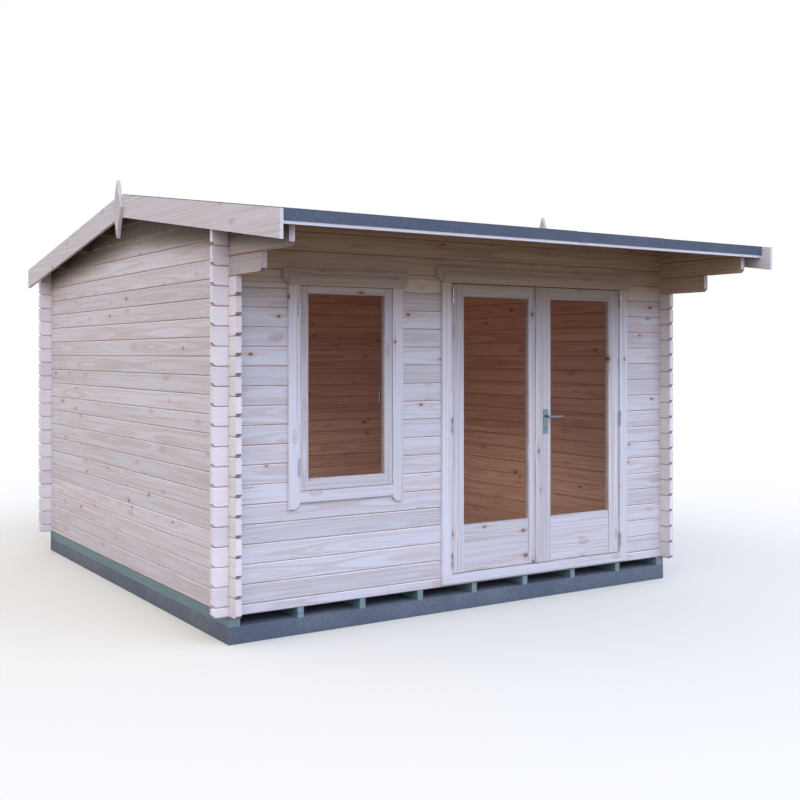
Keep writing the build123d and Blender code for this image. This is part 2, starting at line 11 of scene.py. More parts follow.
import bpy
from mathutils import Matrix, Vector


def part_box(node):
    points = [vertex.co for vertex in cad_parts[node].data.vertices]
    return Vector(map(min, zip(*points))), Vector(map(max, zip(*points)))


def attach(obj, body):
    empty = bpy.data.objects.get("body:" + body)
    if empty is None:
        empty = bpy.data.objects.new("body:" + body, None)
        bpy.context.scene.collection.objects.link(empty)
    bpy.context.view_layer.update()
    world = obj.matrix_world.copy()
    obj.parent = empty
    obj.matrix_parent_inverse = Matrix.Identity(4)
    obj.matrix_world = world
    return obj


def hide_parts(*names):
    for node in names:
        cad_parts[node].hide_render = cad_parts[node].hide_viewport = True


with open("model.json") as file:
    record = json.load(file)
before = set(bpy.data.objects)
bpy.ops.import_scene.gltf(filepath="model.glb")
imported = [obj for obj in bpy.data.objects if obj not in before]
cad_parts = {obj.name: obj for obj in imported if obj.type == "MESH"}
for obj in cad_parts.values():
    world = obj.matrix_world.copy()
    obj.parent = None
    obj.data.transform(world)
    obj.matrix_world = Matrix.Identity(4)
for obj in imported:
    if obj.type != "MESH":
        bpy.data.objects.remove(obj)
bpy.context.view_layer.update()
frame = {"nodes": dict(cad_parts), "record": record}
nodes = frame["nodes"]
print("pieces in the frame:", len(nodes))

# %% [markdown]
# ## Sizes that the finishes follow
# A pattern that should line up with the logs needs to know where the courses lie. Such places are read from
# the frame, so the pattern follows the model if a wall moves. Only what no box of a piece can tell is
# written down: how many courses there are, and how thick the sloping boards are.

# %% Measure the walls
COURSES_TO_CORBEL = 17
front_low, front_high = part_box("front_wall_right")
side_low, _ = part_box("left_wall_logs")
corbel_low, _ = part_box("left_corbel_logs")
_, back_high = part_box("back_wall_logs")
LOG = (corbel_low.z - side_low.z) / COURSES_TO_CORBEL
LOG_THICKNESS = front_high.y - front_low.y
WALL_FOOT = side_low.z
WALL_X = abs(side_low.x)
WALL_FRONT = front_low.y
WALL_BACK = back_high.y
print("log course", round(LOG, 4), "wall foot", round(WALL_FOOT, 3))

# %% Measure the roof, the floor and the doors
ROOF_BOARD = 0.017
BARGE_HEIGHT = 0.153
felt_low, felt_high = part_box("roof_felt")
board_low, board_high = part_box("front_roof_boards")
barge_low, barge_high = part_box("left_bargeboards")
floor_low, floor_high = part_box("floor_boards")
leaf_low, leaf_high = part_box("left_door_leaf")
SLOPE = (board_high.z - board_low.z - ROOF_BOARD) / (board_high.y - board_low.y)
print("roof slope", round(SLOPE, 4), "top of the door leaves", round(leaf_high.z, 3))

# %% [markdown]
# ## Writing shader maths as expressions
# A procedural finish is mostly arithmetic on coordinates. Placing every Math node by hand hides that
# arithmetic, so a small class wraps a socket and turns `+`, `-`, `*` and `/` into nodes. Every other
# node comes from one method of the finish.


# %% Strand
class Strand:
    """One value, colour or vector that flows between shader nodes."""

    def __init__(self, finish, socket):
        self.finish = finish
        self.socket = socket

    def also(self, out):
        """Another output of the node that this one comes from."""
        return Strand(self.finish, self.socket.node.outputs[out])

    def parts(self):
        """The three numbers of a vector or colour."""
        first = self.finish.node("SeparateXYZ", None, {0: self})
        return first, first.also(1), first.also(2)

    def math(self, operation, *others):
        operands = dict(enumerate((self, *others)))
        return self.finish.node("Math", {"operation": operation}, operands)

    def __add__(self, other):
        return self.math("ADD", other)

    __radd__ = __add__

    def __sub__(self, other):
        return self.math("SUBTRACT", other)

    def __rsub__(self, other):
        return self.finish.node("Math", {"operation": "SUBTRACT"}, {0: other, 1: self})

    def __mul__(self, other):
        return self.math("MULTIPLY", other)

    __rmul__ = __mul__

    def __truediv__(self, other):
        return self.math("DIVIDE", other)

    def __rtruediv__(self, other):
        return self.finish.node("Math", {"operation": "DIVIDE"}, {0: other, 1: self})

    def __abs__(self):
        return self.math("ABSOLUTE")

    def hypot(self, other):
        return (self * self + other * other).math("SQRT")

    def over(self, low):
        return self.math("GREATER_THAN", low)

    def under(self, high):
        return self.math("LESS_THAN", high)

    def within(self, low, high):
        return self.over(low) * self.under(high)

    def ease(self, low, high):
        """Rise smoothly from 0 at low to 1 at high, or fall where low is the larger."""
        sockets = {"Value": self, "From Min": low, "From Max": high}
        if low > high:
            sockets.update({"From Min": high, "From Max": low, "To Min": 1.0, "To Max": 0.0})
        return self.finish.node("MapRange", {"interpolation_type": "SMOOTHSTEP"}, sockets)


print("Strand:", Strand.__doc__)


# %% Finish
class Finish:
    """A material, or a world, while its nodes are being laid out."""

    def __init__(self, name, owner=None):
        self.owner = owner or bpy.data.materials.new(name)
        self.owner.use_nodes = True
        self.tree = self.owner.node_tree
        self.tree.nodes.clear()

    def node(self, kind, settings=None, sockets=None, out=0):
        """Make one node: its settings first, then the values or links of its sockets."""
        made = self.tree.nodes.new("ShaderNode" + kind)
        for key, value in (settings or {}).items():
            setattr(made, key, value)
        for key, value in (sockets or {}).items():
            if isinstance(value, Strand):
                self.tree.links.new(value.socket, made.inputs[key])
            else:
                made.inputs[key].default_value = value
        return Strand(self, made.outputs[out]) if made.outputs else None

    def colour_mix(self, share, first, second, blend="MIX"):
        """Blend two colours, each a Strand or a linear (r, g, b)."""
        sides = [c if isinstance(c, Strand) else (*c, 1.0) for c in (first, second)]
        sockets = {0: share, 6: sides[0], 7: sides[1]}
        return self.node("Mix", {"data_type": "RGBA", "blend_type": blend}, sockets, out=2)

    def layers(self, colour, *coats):
        """Lay coats over a colour one after another, each a (share, colour)."""
        for share, coat in coats:
            colour = self.colour_mix(share, colour, coat)
        return colour

    def vector(self, x, y, z):
        return self.node("CombineXYZ", None, {0: x, 1: y, 2: z})

    def place(self):
        """The object coordinates as three Strands."""
        return self.node("TexCoord", None, None, out="Object").parts()

    def facing(self):
        """The object's own normal as three Strands."""
        return self.node("TexCoord", None, None, out="Normal").parts()

    def noise(self, spot, scale=1.0, detail=2.0, roughness=0.5):
        sockets = {"Vector": spot, "Scale": scale, "Detail": detail, "Roughness": roughness}
        return self.node("TexNoise", None, sockets)

    def bump(self, height, distance, strength=1.0):
        return self.node("Bump", None, {"Height": height, "Distance": distance, "Strength": strength})

    def surface(self, sockets):
        """End with a Principled BSDF on the output."""
        shader = self.node("BsdfPrincipled", None, sockets)
        self.node("OutputMaterial", None, {"Surface": shader})
        return self.owner


print("Finish:", Finish.__doc__)

# %% [markdown]
# ## Softwood
# Planed spruce is pale, with tan growth rings that show as streaks and pointed arches, rosy patches and
# brown knots. One palette would make the cabin look cast in one piece, so each kind of timber has its own
# pale tone, streaks and rosy tone. The darker honey tones under the canopy, the roof and the bargeboards are
# painted shade. The room is warmer than the faces outside, partly as the honey of unweathered timber and
# partly as painted warm bounce light.

# %% Colours of the timber
OUTDOORS = ((0.70, 0.65, 0.615), (0.555, 0.435, 0.355), (0.61, 0.43, 0.34))
PLANED = ((0.735, 0.69, 0.66), (0.59, 0.495, 0.425), (0.64, 0.475, 0.395))
# Painted shade: the darker honey tones of timber under the canopy and the roof.
SHADED_HONEY = ((0.49, 0.345, 0.20), (0.29, 0.18, 0.095), (0.36, 0.195, 0.11))
JOINERY = ((0.725, 0.67, 0.63), (0.50, 0.375, 0.29), (0.53, 0.36, 0.27))
# Painted shade: the sash sits back in its frame, so its tones are darker.
SET_BACK_SHADE = ((0.65, 0.60, 0.565), (0.50, 0.385, 0.31), (0.57, 0.39, 0.305))
# Painted shade: the darker tones of the head trims that the canopy shades.
CANOPY_SHADE_TONES = ((0.66, 0.56, 0.47), (0.50, 0.36, 0.26), (0.57, 0.37, 0.26))
# Partly the honey of unweathered timber, partly painted warm bounce light that brightens the room.
ROOM_TONE_AND_BOUNCE = ((0.77, 0.55, 0.42), (0.46, 0.275, 0.185), (0.55, 0.33, 0.225))
TREATED = ((0.175, 0.265, 0.25), (0.09, 0.15, 0.135), (0.13, 0.185, 0.15))
KNOT = (0.12, 0.060, 0.045)
KNOT_RING = (0.42, 0.26, 0.20)
# Paler tone of the stubs past the corners.
STUB_TONE = (0.88, 0.785, 0.71)
JOINT_SHADE = (0.22, 0.115, 0.07)
JOINT_PEACH = (0.72, 0.47, 0.34)
# Painted highlight on the upper edges of the logs.
JOINT_HIGHLIGHT = (0.88, 0.84, 0.81)
# Painted shade under the bargeboards.
EAVES_SHADE = (0.085, 0.055, 0.020)
# Painted shade on the downward-facing chamfers of the stubs.
STUB_CHAMFER_SHADE = (0.15, 0.08, 0.052)
END_GRAIN = (0.80, 0.73, 0.69)
RING_DARK = (0.69, 0.60, 0.55)
print("pale tone outdoors", OUTDOORS[0], "and indoors", ROOM_TONE_AND_BOUNCE[0])

# %% [markdown]
# ### Where the painted shade and the warm room lie
# The tone of a log changes along its own face: brown under the canopy and the bargeboards, which is painted
# shade, and warm in the room, which is partly painted warm bounce light. Splitting the logs there would
# leave hard lines. Each zone is an expression on the place instead, 1 inside the zone and 0 outside it, and
# it fades out where the real shade does.

# %% Zones of the walls
STUB_START = 0.004
FACE = 0.001
CANOPY_FOOT = corbel_low.z - 2.2 * LOG
CANOPY_TOP = corbel_low.z + 0.8 * LOG
EAVES_FADE = (0.45, 0.13)
EAVES_SHARE = 0.42
GABLE_FADE = (0.27, 0.10)
GABLE_SLOPE = SLOPE * 0.55
CORBEL_SHARE = 0.36


def inside_room(x, y):
    """1 on the faces that look into the room, 0 on the faces outside."""
    half = LOG_THICKNESS / 2
    return abs(x).under(WALL_X - half) * y.within(WALL_FRONT + half, WALL_BACK - half)


def canopy_and_eaves_shade(x, y, z):
    """Painted shade: 1 on the front under the canopy, fading out downwards, and a little under the
    bargeboards.
    """
    canopy = z.ease(CANOPY_FOOT, CANOPY_TOP)
    along_slope = z + abs(y) * SLOPE
    eaves = along_slope.ease(*(board_high.z - drop for drop in EAVES_FADE)) * EAVES_SHARE
    front = y.under(WALL_FRONT + LOG_THICKNESS / 2) * abs(x).under(WALL_X - FACE)
    return eaves + (canopy - eaves) * front


def under_bargeboards(x, y, z):
    """Painted shade: 1 at the top of the gable, close under the bargeboards, fading out downwards."""
    top = barge_high.z - BARGE_HEIGHT
    gable = (z + abs(y) * GABLE_SLOPE).ease(*(top - drop for drop in GABLE_FADE))
    # The corbels under the canopy get part of the painted shade too.
    corbel = y.under(WALL_FRONT - STUB_START) * z.over(corbel_low.z) * CORBEL_SHARE
    return gable.math("MAXIMUM", corbel) * abs(x).within(WALL_X - LOG_THICKNESS / 2, WALL_X + LOG)


print("the canopy's shade ends at", round(CANOPY_FOOT, 3))

# %% [markdown]
# ### Knots
# A knot is a branch that the saw cut through: some are small dark dots with a reddish tail, others are wide
# brown ovals with rings. They could be noise peaks, but those have no middle to draw rings round. Here they
# sit at the points of Voronoi cells, and the distance to such a point is measured in metres, so that a knot
# keeps its shape although its cell is long.

# %% Knots of a board
KNOT_CELL = (0.42, 0.10)
KNOT_SHARE = 0.36
DOT_SHARE = 0.5
DOT_RADIUS, DOT_GROWTH, DOT_STRETCH = 0.0065, 0.006, 1.5
OVAL_RADIUS, OVAL_GROWTH, OVAL_STRETCH = 0.013, 0.009, 2.4
OVAL_RINGS = 10.0
TAIL_WIDTH = (0.014, 0.002)
TAIL_LENGTH = (0.20, 0.02)
BEND_REACH, BEND_STRETCH = 0.07, 2.0
DOT_RIM, HALO_RIM = (1.2, 0.6), (3.4, 0.8)
RING_RIM, RING_LINE, HEART_RIM = (1.5, 0.8), (0.1, 0.9), (1.6, 0.2)


def knots(wood, along, across):
    """Where the knots lie: the dark dots, their halos and tails, and the wide ovals with their rings."""
    cell_u, cell_v = along / KNOT_CELL[0], across / KNOT_CELL[1]
    flat = {"voronoi_dimensions": "2D"}
    spot = {"Vector": wood.vector(cell_u, cell_v, 0.0), "Scale": 1.0}
    point = wood.node("TexVoronoi", flat, spot, out="Position")
    chance, size, kind = point.also("Color").parts()
    at_u, at_v, _ = point.parts()
    du = (cell_u - at_u) * KNOT_CELL[0]
    dv = (cell_v - at_v) * KNOT_CELL[1]
    present = chance.under(KNOT_SHARE)
    small, wide = kind.under(DOT_SHARE) * present, kind.over(DOT_SHARE) * present
    dot = (du / DOT_STRETCH).hypot(dv) / (size * DOT_GROWTH + DOT_RADIUS)
    oval = (du / OVAL_STRETCH).hypot(dv) / (size * OVAL_GROWTH + OVAL_RADIUS)
    swirl = (oval * OVAL_RINGS).math("SINE")
    tail = abs(dv).ease(*TAIL_WIDTH) * abs(du).ease(*TAIL_LENGTH)
    return {
        "dot": dot.ease(*DOT_RIM) * small,
        "halo": dot.ease(*HALO_RIM) * small,
        "tail": tail * small,
        "ring": swirl.ease(*RING_LINE) * oval.ease(*RING_RIM) * wide,
        "heart": oval.ease(*HEART_RIM) * wide,
        "bend": dv * (du / BEND_STRETCH).hypot(dv).ease(BEND_REACH, 0.0) * present,
    }


print("about one knot in", round(KNOT_CELL[0] * KNOT_CELL[1] / KNOT_SHARE, 3), "square metres")

# %% [markdown]
# ### Growth rings and fibres
# Noise that is stretched along the grain gives streaks but no arches. A board is a slice beside the middle
# of the tree, so here the rings follow the distance from a line that runs under the face and wanders along
# the grain. Every log or board is cut from another place in the tree, so the pattern jumps from one to the
# next. Fibres and rosy patches are finer, and for them stretched noise is enough.

# %% Growth of a board
ROW_JUMP = (3.71, 0.731)
WANDER_SCALE = 0.9
HEART_ASIDE = 0.09
HEART_DEPTH, DEPTH_BY_ROW, DEPTH_BY_WANDER = 0.01, 0.04, 0.06
KNOT_PUSH = 0.7
RING_SCALE = 125.0
RING_STRETCH = 0.5
FIBRE_SCALE = (5.0, 320.0)
PATCH_SCALE, PATCH_RIM = (0.9, 38.0), (0.55, 0.74)
BLUSH = {"patch": 0.55, "halo": 0.55, "tail": 0.40, "heart": 0.50}
MOST_BLUSH = 0.9


def growth(wood, row, u, v, w, across):
    """What grew in a board: its own tint, its place in the tree, rings, fibres, blush and knots."""
    chance = wood.node("TexWhiteNoise", {"noise_dimensions": "1D"}, {"W": row}, out="Color")
    tint, shift, _ = chance.parts()
    length = u + row * ROW_JUMP[0]
    mark = knots(wood, length, v + row * ROW_JUMP[1])
    wander = wood.noise(wood.vector(length * WANDER_SCALE, row, 0.0), detail=1.0)
    aside = across + (shift - 0.5) * HEART_ASIDE - mark["bend"] * KNOT_PUSH
    below = tint * DEPTH_BY_ROW + wander * DEPTH_BY_WANDER + HEART_DEPTH
    slice_spot = wood.vector(aside.hypot(below) * RING_SCALE, length * RING_STRETCH, row)
    fibre_spot = wood.vector(length * FIBRE_SCALE[0], v * FIBRE_SCALE[1], (w + shift) * FIBRE_SCALE[1])
    patch = wood.noise(wood.vector(length * PATCH_SCALE[0], v * PATCH_SCALE[1], row))
    mark["patch"] = patch.ease(*PATCH_RIM)
    first, *others = (mark[kind] * share for kind, share in BLUSH.items())
    return {
        **mark,
        "tint": tint,
        "length": length,
        "rings": wood.noise(slice_spot, detail=4.0, roughness=0.6),
        "fibres": wood.noise(fibre_spot),
        "blush": sum(others, first).math("MINIMUM", MOST_BLUSH),
    }


print("the pattern jumps by", ROW_JUMP, "from board to board")

# %% [markdown]
# ### Joints and stubs
# Where two logs meet, the joint is dark in its depth and peach along its edges, and its upper edge carries a
# painted highlight where the sky would light the bevel. The bevels are in the solids, but too small to show
# these tones, so they are laid on by the height within a course. The stubs past the corners are paler, and
# their slanted lower corners, which face down, carry painted shade.

# %% Marks of the log courses
STUB_SHARE = 0.72
WORN_SCALE, WORN_RIM = 7.0, (0.3, 0.7)
LOWER_EDGE, UPPER_EDGE = (0.15, 0.03), (0.88, 0.97)
DARK_LINE, BRIGHT_LINE = (0.055, 0.030), (0.945, 0.975)
UPPER_SHARE, WORN_SHARE, STUB_PEACH, BRIGHT_SHARE = 0.55, 0.5, 0.2, 0.55
DARK_LEAST, DARK_BY_WEAR = 0.22, 0.75


def course_marks(wood, colour, place, height, worn, shaded_chamfer, open_air):
    """Lay the joints between courses over a colour, and the tones of the stubs."""
    x, y, z = place
    past_wall = y.under(WALL_FRONT - STUB_START) + y.over(WALL_BACK + STUB_START)
    side_stub = past_wall * z.under(corbel_low.z)
    stub = (abs(x).over(WALL_X + STUB_START) + side_stub).math("MINIMUM", 1.0)
    edges = height.ease(*LOWER_EDGE) + height.ease(*UPPER_EDGE) * UPPER_SHARE
    return wood.layers(
        colour,
        (stub * STUB_SHARE, STUB_TONE),
        # Painted shade on the slanted faces that look down.
        (shaded_chamfer * STUB_SHARE, STUB_CHAMFER_SHADE),
        (edges * (worn.ease(*WORN_RIM) * WORN_SHARE + stub * STUB_PEACH), JOINT_PEACH),
        # Painted highlight along the upper edge of each log, in the open air only.
        (height.ease(*BRIGHT_LINE) * BRIGHT_SHARE * open_air, JOINT_HIGHLIGHT),
        (height.ease(*DARK_LINE) * (worn * DARK_BY_WEAR + DARK_LEAST), JOINT_SHADE))


print("the dark line of a joint is", round(DARK_LINE[0] * LOG, 4), "high")

# %% [markdown]
# ### The whole finish
# Growth, zones, knots, sawn ends and joints are laid over each other, and a last factor makes each board a
# little lighter or darker than the next. The rings and fibres also raise a faint bump.

# %% Softwood
STREAK_RIM, STREAK_SHARE = (0.42, 0.62), 0.60
FIBRE_RIM, FIBRE_SHARE = (0.45, 0.75), 0.15
CANOPY_SHARE, GABLE_SHARE = 0.92, 0.96
KNOT_RING_SHARE, KNOT_DOT_SHARE = 0.42, 0.82
SAWN_END = 0.8
SLANTED = (0.5, 0.8)
END_OVAL, END_JUMP = 1.6, 0.37
END_RINGS = {"Scale": 38.0, "Distortion": 1.5, "Detail Scale": 6.0}
BOARD_SHADE, BOARD_SPREAD = 0.92, 0.14
TOP_SHADE_HEIGHT = 1.0
GRAIN_HEIGHT, GRAIN_STRENGTH = 0.0006, 0.5


def softwood(name, grain, split, palette=OUTDOORS, courses=False, rails=(), zones=True, ends=0.55,
             painted_top_shade=0.0, seed=0.0):
    """Timber whose grain names the axis along it and the axis across its face, such as XZ.

    split is (axis, pitch, start): a new log or board begins at every pitch. rails are ((x0, x1), (z0, z1))
    areas with their grain along X, each a board of its own. ends is how far the end grain shows, and
    painted_top_shade how much painted shade darkens the timber towards the top of the doors. courses
    needs zones.
    """
    wood = Finish(name)
    place = x, y, z = wood.place()
    axes = {"X": x, "Y": y, "Z": z}
    u, v = axes[grain[0]], axes[grain[1]]
    w = axes[({"X", "Y", "Z"} - set(grain)).pop()]
    split_axis, pitch, start = split
    steps = (axes[split_axis] - start) / pitch
    height = steps.math("FRACT")
    row = steps.math("FLOOR") + seed
    across = (height - 0.5) * pitch if split_axis == grain[1] else v
    for index, ((x0, x1), (z0, z1)) in enumerate(rails):
        here = x.within(x0, x1) * z.within(z0, z1)
        u, v, across = u + (x - u) * here, v + (z - v) * here, across + (z - across) * here
        row = row + (seed + index + 0.5 - row) * here
    tree = growth(wood, row, u, v, w, across)
    rings, fibres = tree["rings"], tree["fibres"]

    def dress(tones):
        pale, streak, rosy = tones
        streaks = rings.ease(*STREAK_RIM) * STREAK_SHARE + fibres.ease(*FIBRE_RIM) * FIBRE_SHARE
        return wood.colour_mix(tree["blush"], wood.colour_mix(streaks, pale, streak), rosy)

    colour = dress(palette)
    if zones:
        # Painted shade: the canopy zone lays the darker honey tones where the canopy shades the front.
        canopy, room = canopy_and_eaves_shade(x, y, z), inside_room(x, y)
        # The room's tones are partly painted warm bounce light.
        colour = wood.layers(
            colour, (canopy * CANOPY_SHARE, dress(SHADED_HONEY)),
            # Painted shade close under the bargeboards and on the corbels.
            (under_bargeboards(x, y, z) * GABLE_SHARE, EAVES_SHADE), (room, dress(ROOM_TONE_AND_BOUNCE)))
    colour = wood.layers(
        colour, (tree["ring"] * KNOT_RING_SHARE, KNOT_RING), (tree["dot"] * KNOT_DOT_SHARE, KNOT))

    facing = wood.facing()
    lengthwise = abs(facing["XYZ".index(grain[0])])
    end_spot = wood.vector(v, w * END_OVAL, row * END_JUMP)
    end_rings = wood.node("TexWave", {"wave_type": "RINGS", "rings_direction": "Z"},
                          {"Vector": end_spot, **END_RINGS})
    end_tone = wood.colour_mix(end_rings, END_GRAIN, RING_DARK)
    colour = wood.colour_mix(lengthwise.over(SAWN_END) * ends, colour, end_tone)
    if courses:
        worn = wood.noise(wood.vector(tree["length"] * WORN_SCALE, row, 0.0), detail=3.0)
        # The slanted faces that look down get painted shade.
        shaded_chamfer = lengthwise.within(*SLANTED) * facing[2].under(-SLANTED[0])
        open_air = (1.0 - canopy) * (1.0 - room)
        colour = course_marks(wood, colour, place, height, worn, shaded_chamfer, open_air)
    shade = tree["tint"] * BOARD_SPREAD + BOARD_SHADE
    # Painted shade: the timber darkens towards the top of the doors, where the canopy shades it.
    if painted_top_shade:
        shade = shade * (1.0 - z.ease(leaf_high.z - TOP_SHADE_HEIGHT, leaf_high.z) * painted_top_shade)
    colour = wood.colour_mix(1.0, colour, wood.vector(shade, shade, shade), blend="MULTIPLY")
    return wood.surface({
        "Base Color": colour,
        "Roughness": 0.64 + (fibres - 0.5) * 0.18,
        "Normal": wood.bump(rings * 0.6 + fibres * 0.4 - tree["dot"] * 0.3, GRAIN_HEIGHT,
                            GRAIN_STRENGTH),
    })


print("boards differ in shade from", BOARD_SHADE, "to", round(BOARD_SHADE + BOARD_SPREAD, 2))

# %% [markdown]
# ### Timber of every piece
# Each finish below says how the grain of its pieces runs and where one board ends and the next begins. The
# grain of the bargeboards runs level although their edges slope. A door leaf, a sash and a frame have
# uprights and rails, so their rails are given as areas whose grain turns.

# %% Where boards begin
ROOF_BOARDS = 32
FLOOR_BOARDS = 30
BEARER_SPACES = 8
EDGE_BEARER = 0.07
doors_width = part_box("right_door_leaf")[1].x - leaf_low.x
roof_pitch = (board_high.x - board_low.x) / ROOF_BOARDS
floor_pitch = (floor_high.y - floor_low.y) / FLOOR_BOARDS
bearer_pitch = (2 * WALL_X - EDGE_BEARER) / BEARER_SPACES
leaf_split = ("X", doors_width / 4, leaf_low.x)
panel_split = ("X", doors_width / 2, leaf_low.x)
roof_split = ("X", roof_pitch, board_low.x)
floor_split = ("Y", floor_pitch, floor_low.y)
bearer_split = ("X", bearer_pitch, -WALL_X - bearer_pitch / 2)
beam_split = ("Y", 0.5, -0.25)
trim_split = ("X", 0.35, 0.0)
halves = ("Y", 5.0, 0.0)
one_board = ("Y", 20.0, -10.0)
print("roof boards", round(roof_pitch, 4), "and floor boards", round(floor_pitch, 4), "wide")

# %% Timber of logs and boards
log_front = softwood("log_timber_front", "XZ", ("Z", LOG, WALL_FOOT - LOG / 2), courses=True)
log_side = softwood("log_timber_side", "YZ", ("Z", LOG, WALL_FOOT), courses=True, seed=40.0)
upright = softwood("board_timber_upright", "ZX", trim_split, PLANED, seed=7.0)
level_board = softwood("board_timber_level", "XZ", one_board, PLANED, seed=11.0)
eaves_board = softwood("board_timber_eaves", "XZ", halves, PLANED, zones=False, seed=15.0)
# Painted shade: the head trims take the darker canopy tones and darken towards the top.
head_board = softwood("board_timber_head", "XZ", one_board, CANOPY_SHADE_TONES, painted_top_shade=0.2, seed=19.0)
barge_left = softwood("board_timber_left_gable", "YZ", halves, zones=False, seed=23.0)
barge_right = softwood("board_timber_right_gable", "YZ", halves, zones=False, seed=27.0)
# Painted shade: the roof boards and purlins take the darker honey tones of the shade under the roof.
soffit = softwood("board_timber_soffit", "YX", roof_split, SHADED_HONEY, ends=0.25, seed=31.0)
beam = softwood("beam_timber", "XZ", beam_split, SHADED_HONEY, ends=0.25, seed=35.0)
# The floor boards take the room's tones, partly painted warm bounce light.
floor_wood = softwood("floor_timber", "XY", floor_split, ROOM_TONE_AND_BOUNCE, zones=False, seed=37.0)
bearer_wood = softwood("bearer_timber", "YZ", bearer_split, TREATED, zones=False, ends=0.08, seed=53.0)
print("nodes of the log finish:", len(log_front.node_tree.nodes))

# %% Timber of frames and doors
sash_low, sash_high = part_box("window_sash")
frame_low, frame_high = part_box("window_frame")


def pane_gaps(leaf, pane):
    """The rail areas of a glazed leaf: over its pane and under it."""
    (low, high), (pane_low, pane_high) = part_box(leaf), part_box(pane)
    across = (pane_low.x, pane_high.x)
    return [(across, (pane_high.z, high.z + LOG)), (across, (low.z - LOG, pane_low.z))]


def head_gap(piece, inner_top):
    """The head of a frame, between its uprights."""
    low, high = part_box(piece)
    return [((low.x, high.x), (inner_top, high.z + LOG))]


sash_rails = pane_gaps("window_sash", "window_glass")
leaf_rails = [
    *pane_gaps("left_door_leaf", "left_door_glass"), *pane_gaps("right_door_leaf", "right_door_glass")]
window_rails = [
    *head_gap("window_frame", sash_high.z), ((frame_low.x, frame_high.x), (frame_low.z, sash_low.z))]
door_rails = head_gap("door_frame", leaf_high.z)
# Painted shade: the sash takes the darker set-back tones and darkens towards the top.
sash_wood = softwood("sash_timber", "ZX", trim_split, SET_BACK_SHADE, rails=sash_rails, painted_top_shade=0.12, seed=61.0)
leaf_wood = softwood("leaf_timber", "ZX", leaf_split, JOINERY, rails=leaf_rails, painted_top_shade=0.24, seed=67.0)
panel_wood = softwood("panel_timber", "XZ", panel_split, JOINERY, seed=71.0)
door_frame_wood = softwood("door_frame_timber", "ZX", leaf_split, rails=door_rails, seed=73.0)
window_frame_wood = softwood("window_frame_timber", "ZX", trim_split, rails=window_rails, seed=79.0)
print("rails in sash, leaves and frames:", len(sash_rails + leaf_rails + window_rails + door_rails))

# %% [markdown]
# ## Felt and concrete
# Roofing felt is a bitumen sheet pressed full of mineral chips. Modelled chips would be millions of faces,
# so they are a fine speckle of slate blue with a bump, over a slow mottling. Cast concrete has cloudy
# patches, sand, pinholes and a damp foot. Plain noise and Voronoi cells are enough for both.

# %% Finishes of felt and concrete
FELT_TONES = ((0.078, 0.095, 0.119), (0.099, 0.115, 0.135))
CHIP_LIGHT, CHIP_DARK = (0.20, 0.22, 0.245), (0.03, 0.035, 0.045)
CHIP_SCALE, CHIP_CELLS = 420.0, 260.0
SLAB_TONES = ((0.105, 0.125, 0.15), (0.165, 0.18, 0.195))
SLAB_GRIT, SLAB_SAND = (0.085, 0.10, 0.125), (0.25, 0.26, 0.27)
SLAB_DAMP, SLAB_HOLE = (0.07, 0.08, 0.095), (0.04, 0.045, 0.055)
DAMP_HEIGHT = 0.075
HOLE_CELLS = 34.0


def felt_finish():
    felt = Finish("roofing_felt")
    spot = felt.vector(*felt.place())
    chips = felt.noise(spot, scale=CHIP_SCALE, detail=1.0)
    cloud = felt.noise(spot, scale=3.2, detail=4.0, roughness=0.6)
    cells = felt.node("TexVoronoi", None, {"Vector": spot, "Scale": CHIP_CELLS}, out="Color")
    speck, _, _ = cells.parts()
    return felt.surface({
        "Base Color": felt.layers(
            felt.colour_mix(cloud.ease(0.32, 0.70), *FELT_TONES),
            (speck.over(0.72) * 0.25, CHIP_LIGHT), (speck.under(0.18) * 0.3, CHIP_DARK)),
        "Roughness": 0.86 + chips * 0.1,
        "Normal": felt.bump(chips + speck * 0.6, 0.0012, 0.8),
    })


def concrete_finish():
    slab = Finish("cast_concrete")
    x, y, z = slab.place()
    spot = slab.vector(x, y, z)
    cloud = slab.noise(spot, scale=2.4, detail=5.0, roughness=0.62)
    sand = slab.noise(spot, scale=180.0)
    grit = slab.noise(spot, scale=48.0, detail=3.0)
    cells = slab.node("TexVoronoi", None, {"Vector": spot, "Scale": HOLE_CELLS}, out="Distance")
    hole = cells.ease(0.16, 0.05)
    damp = z.ease(DAMP_HEIGHT, 0.0)
    return slab.surface({
        "Base Color": slab.layers(
            slab.colour_mix(cloud.ease(0.3, 0.7), *SLAB_TONES),
            (grit.ease(0.48, 0.62) * 0.55, SLAB_GRIT), (sand.ease(0.5, 0.8) * 0.35, SLAB_SAND),
            (damp * 0.35, SLAB_DAMP), (hole * 0.55, SLAB_HOLE)),
        "Roughness": 0.88 - damp * 0.12,
        "Normal": slab.bump(sand + cloud * 2.0 - hole, 0.002, 0.7),
    })


felt_sheet = felt_finish()
concrete = concrete_finish()
print("made", felt_sheet.name, "and", concrete.name)

# %% [markdown]
# ## Glass and metal
# Window glass is thin and clear. A glass shader would bend and darken the light, so the pane is mostly
# transparent instead, and only mirrors at a glancing angle. The hinges are zinc plated and the handle is
# satin metal, both with a faint brushed grain and slow stains.

# %% Finishes of glass and metal
PANE_TONES = ((0.02, 0.025, 0.03), (0.05, 0.06, 0.065))
PANE_CLEAR, PANE_MIRROR = 0.04, 0.9
BRUSH_ACROSS, BRUSH_ALONG = 900.0, 40.0


def glass_finish():
    pane = Finish("clear_glass")
    haze = pane.noise(pane.vector(*pane.place()), scale=5.0, detail=3.0)
    edge = pane.node("LayerWeight", None, {"Blend": 0.5}, out="Facing").math("POWER", 5.0)
    return pane.surface({
        "Base Color": pane.colour_mix(haze, *PANE_TONES),
        "Roughness": haze * 0.04 + 0.015,
        "Alpha": edge * PANE_MIRROR + PANE_CLEAR,
    })


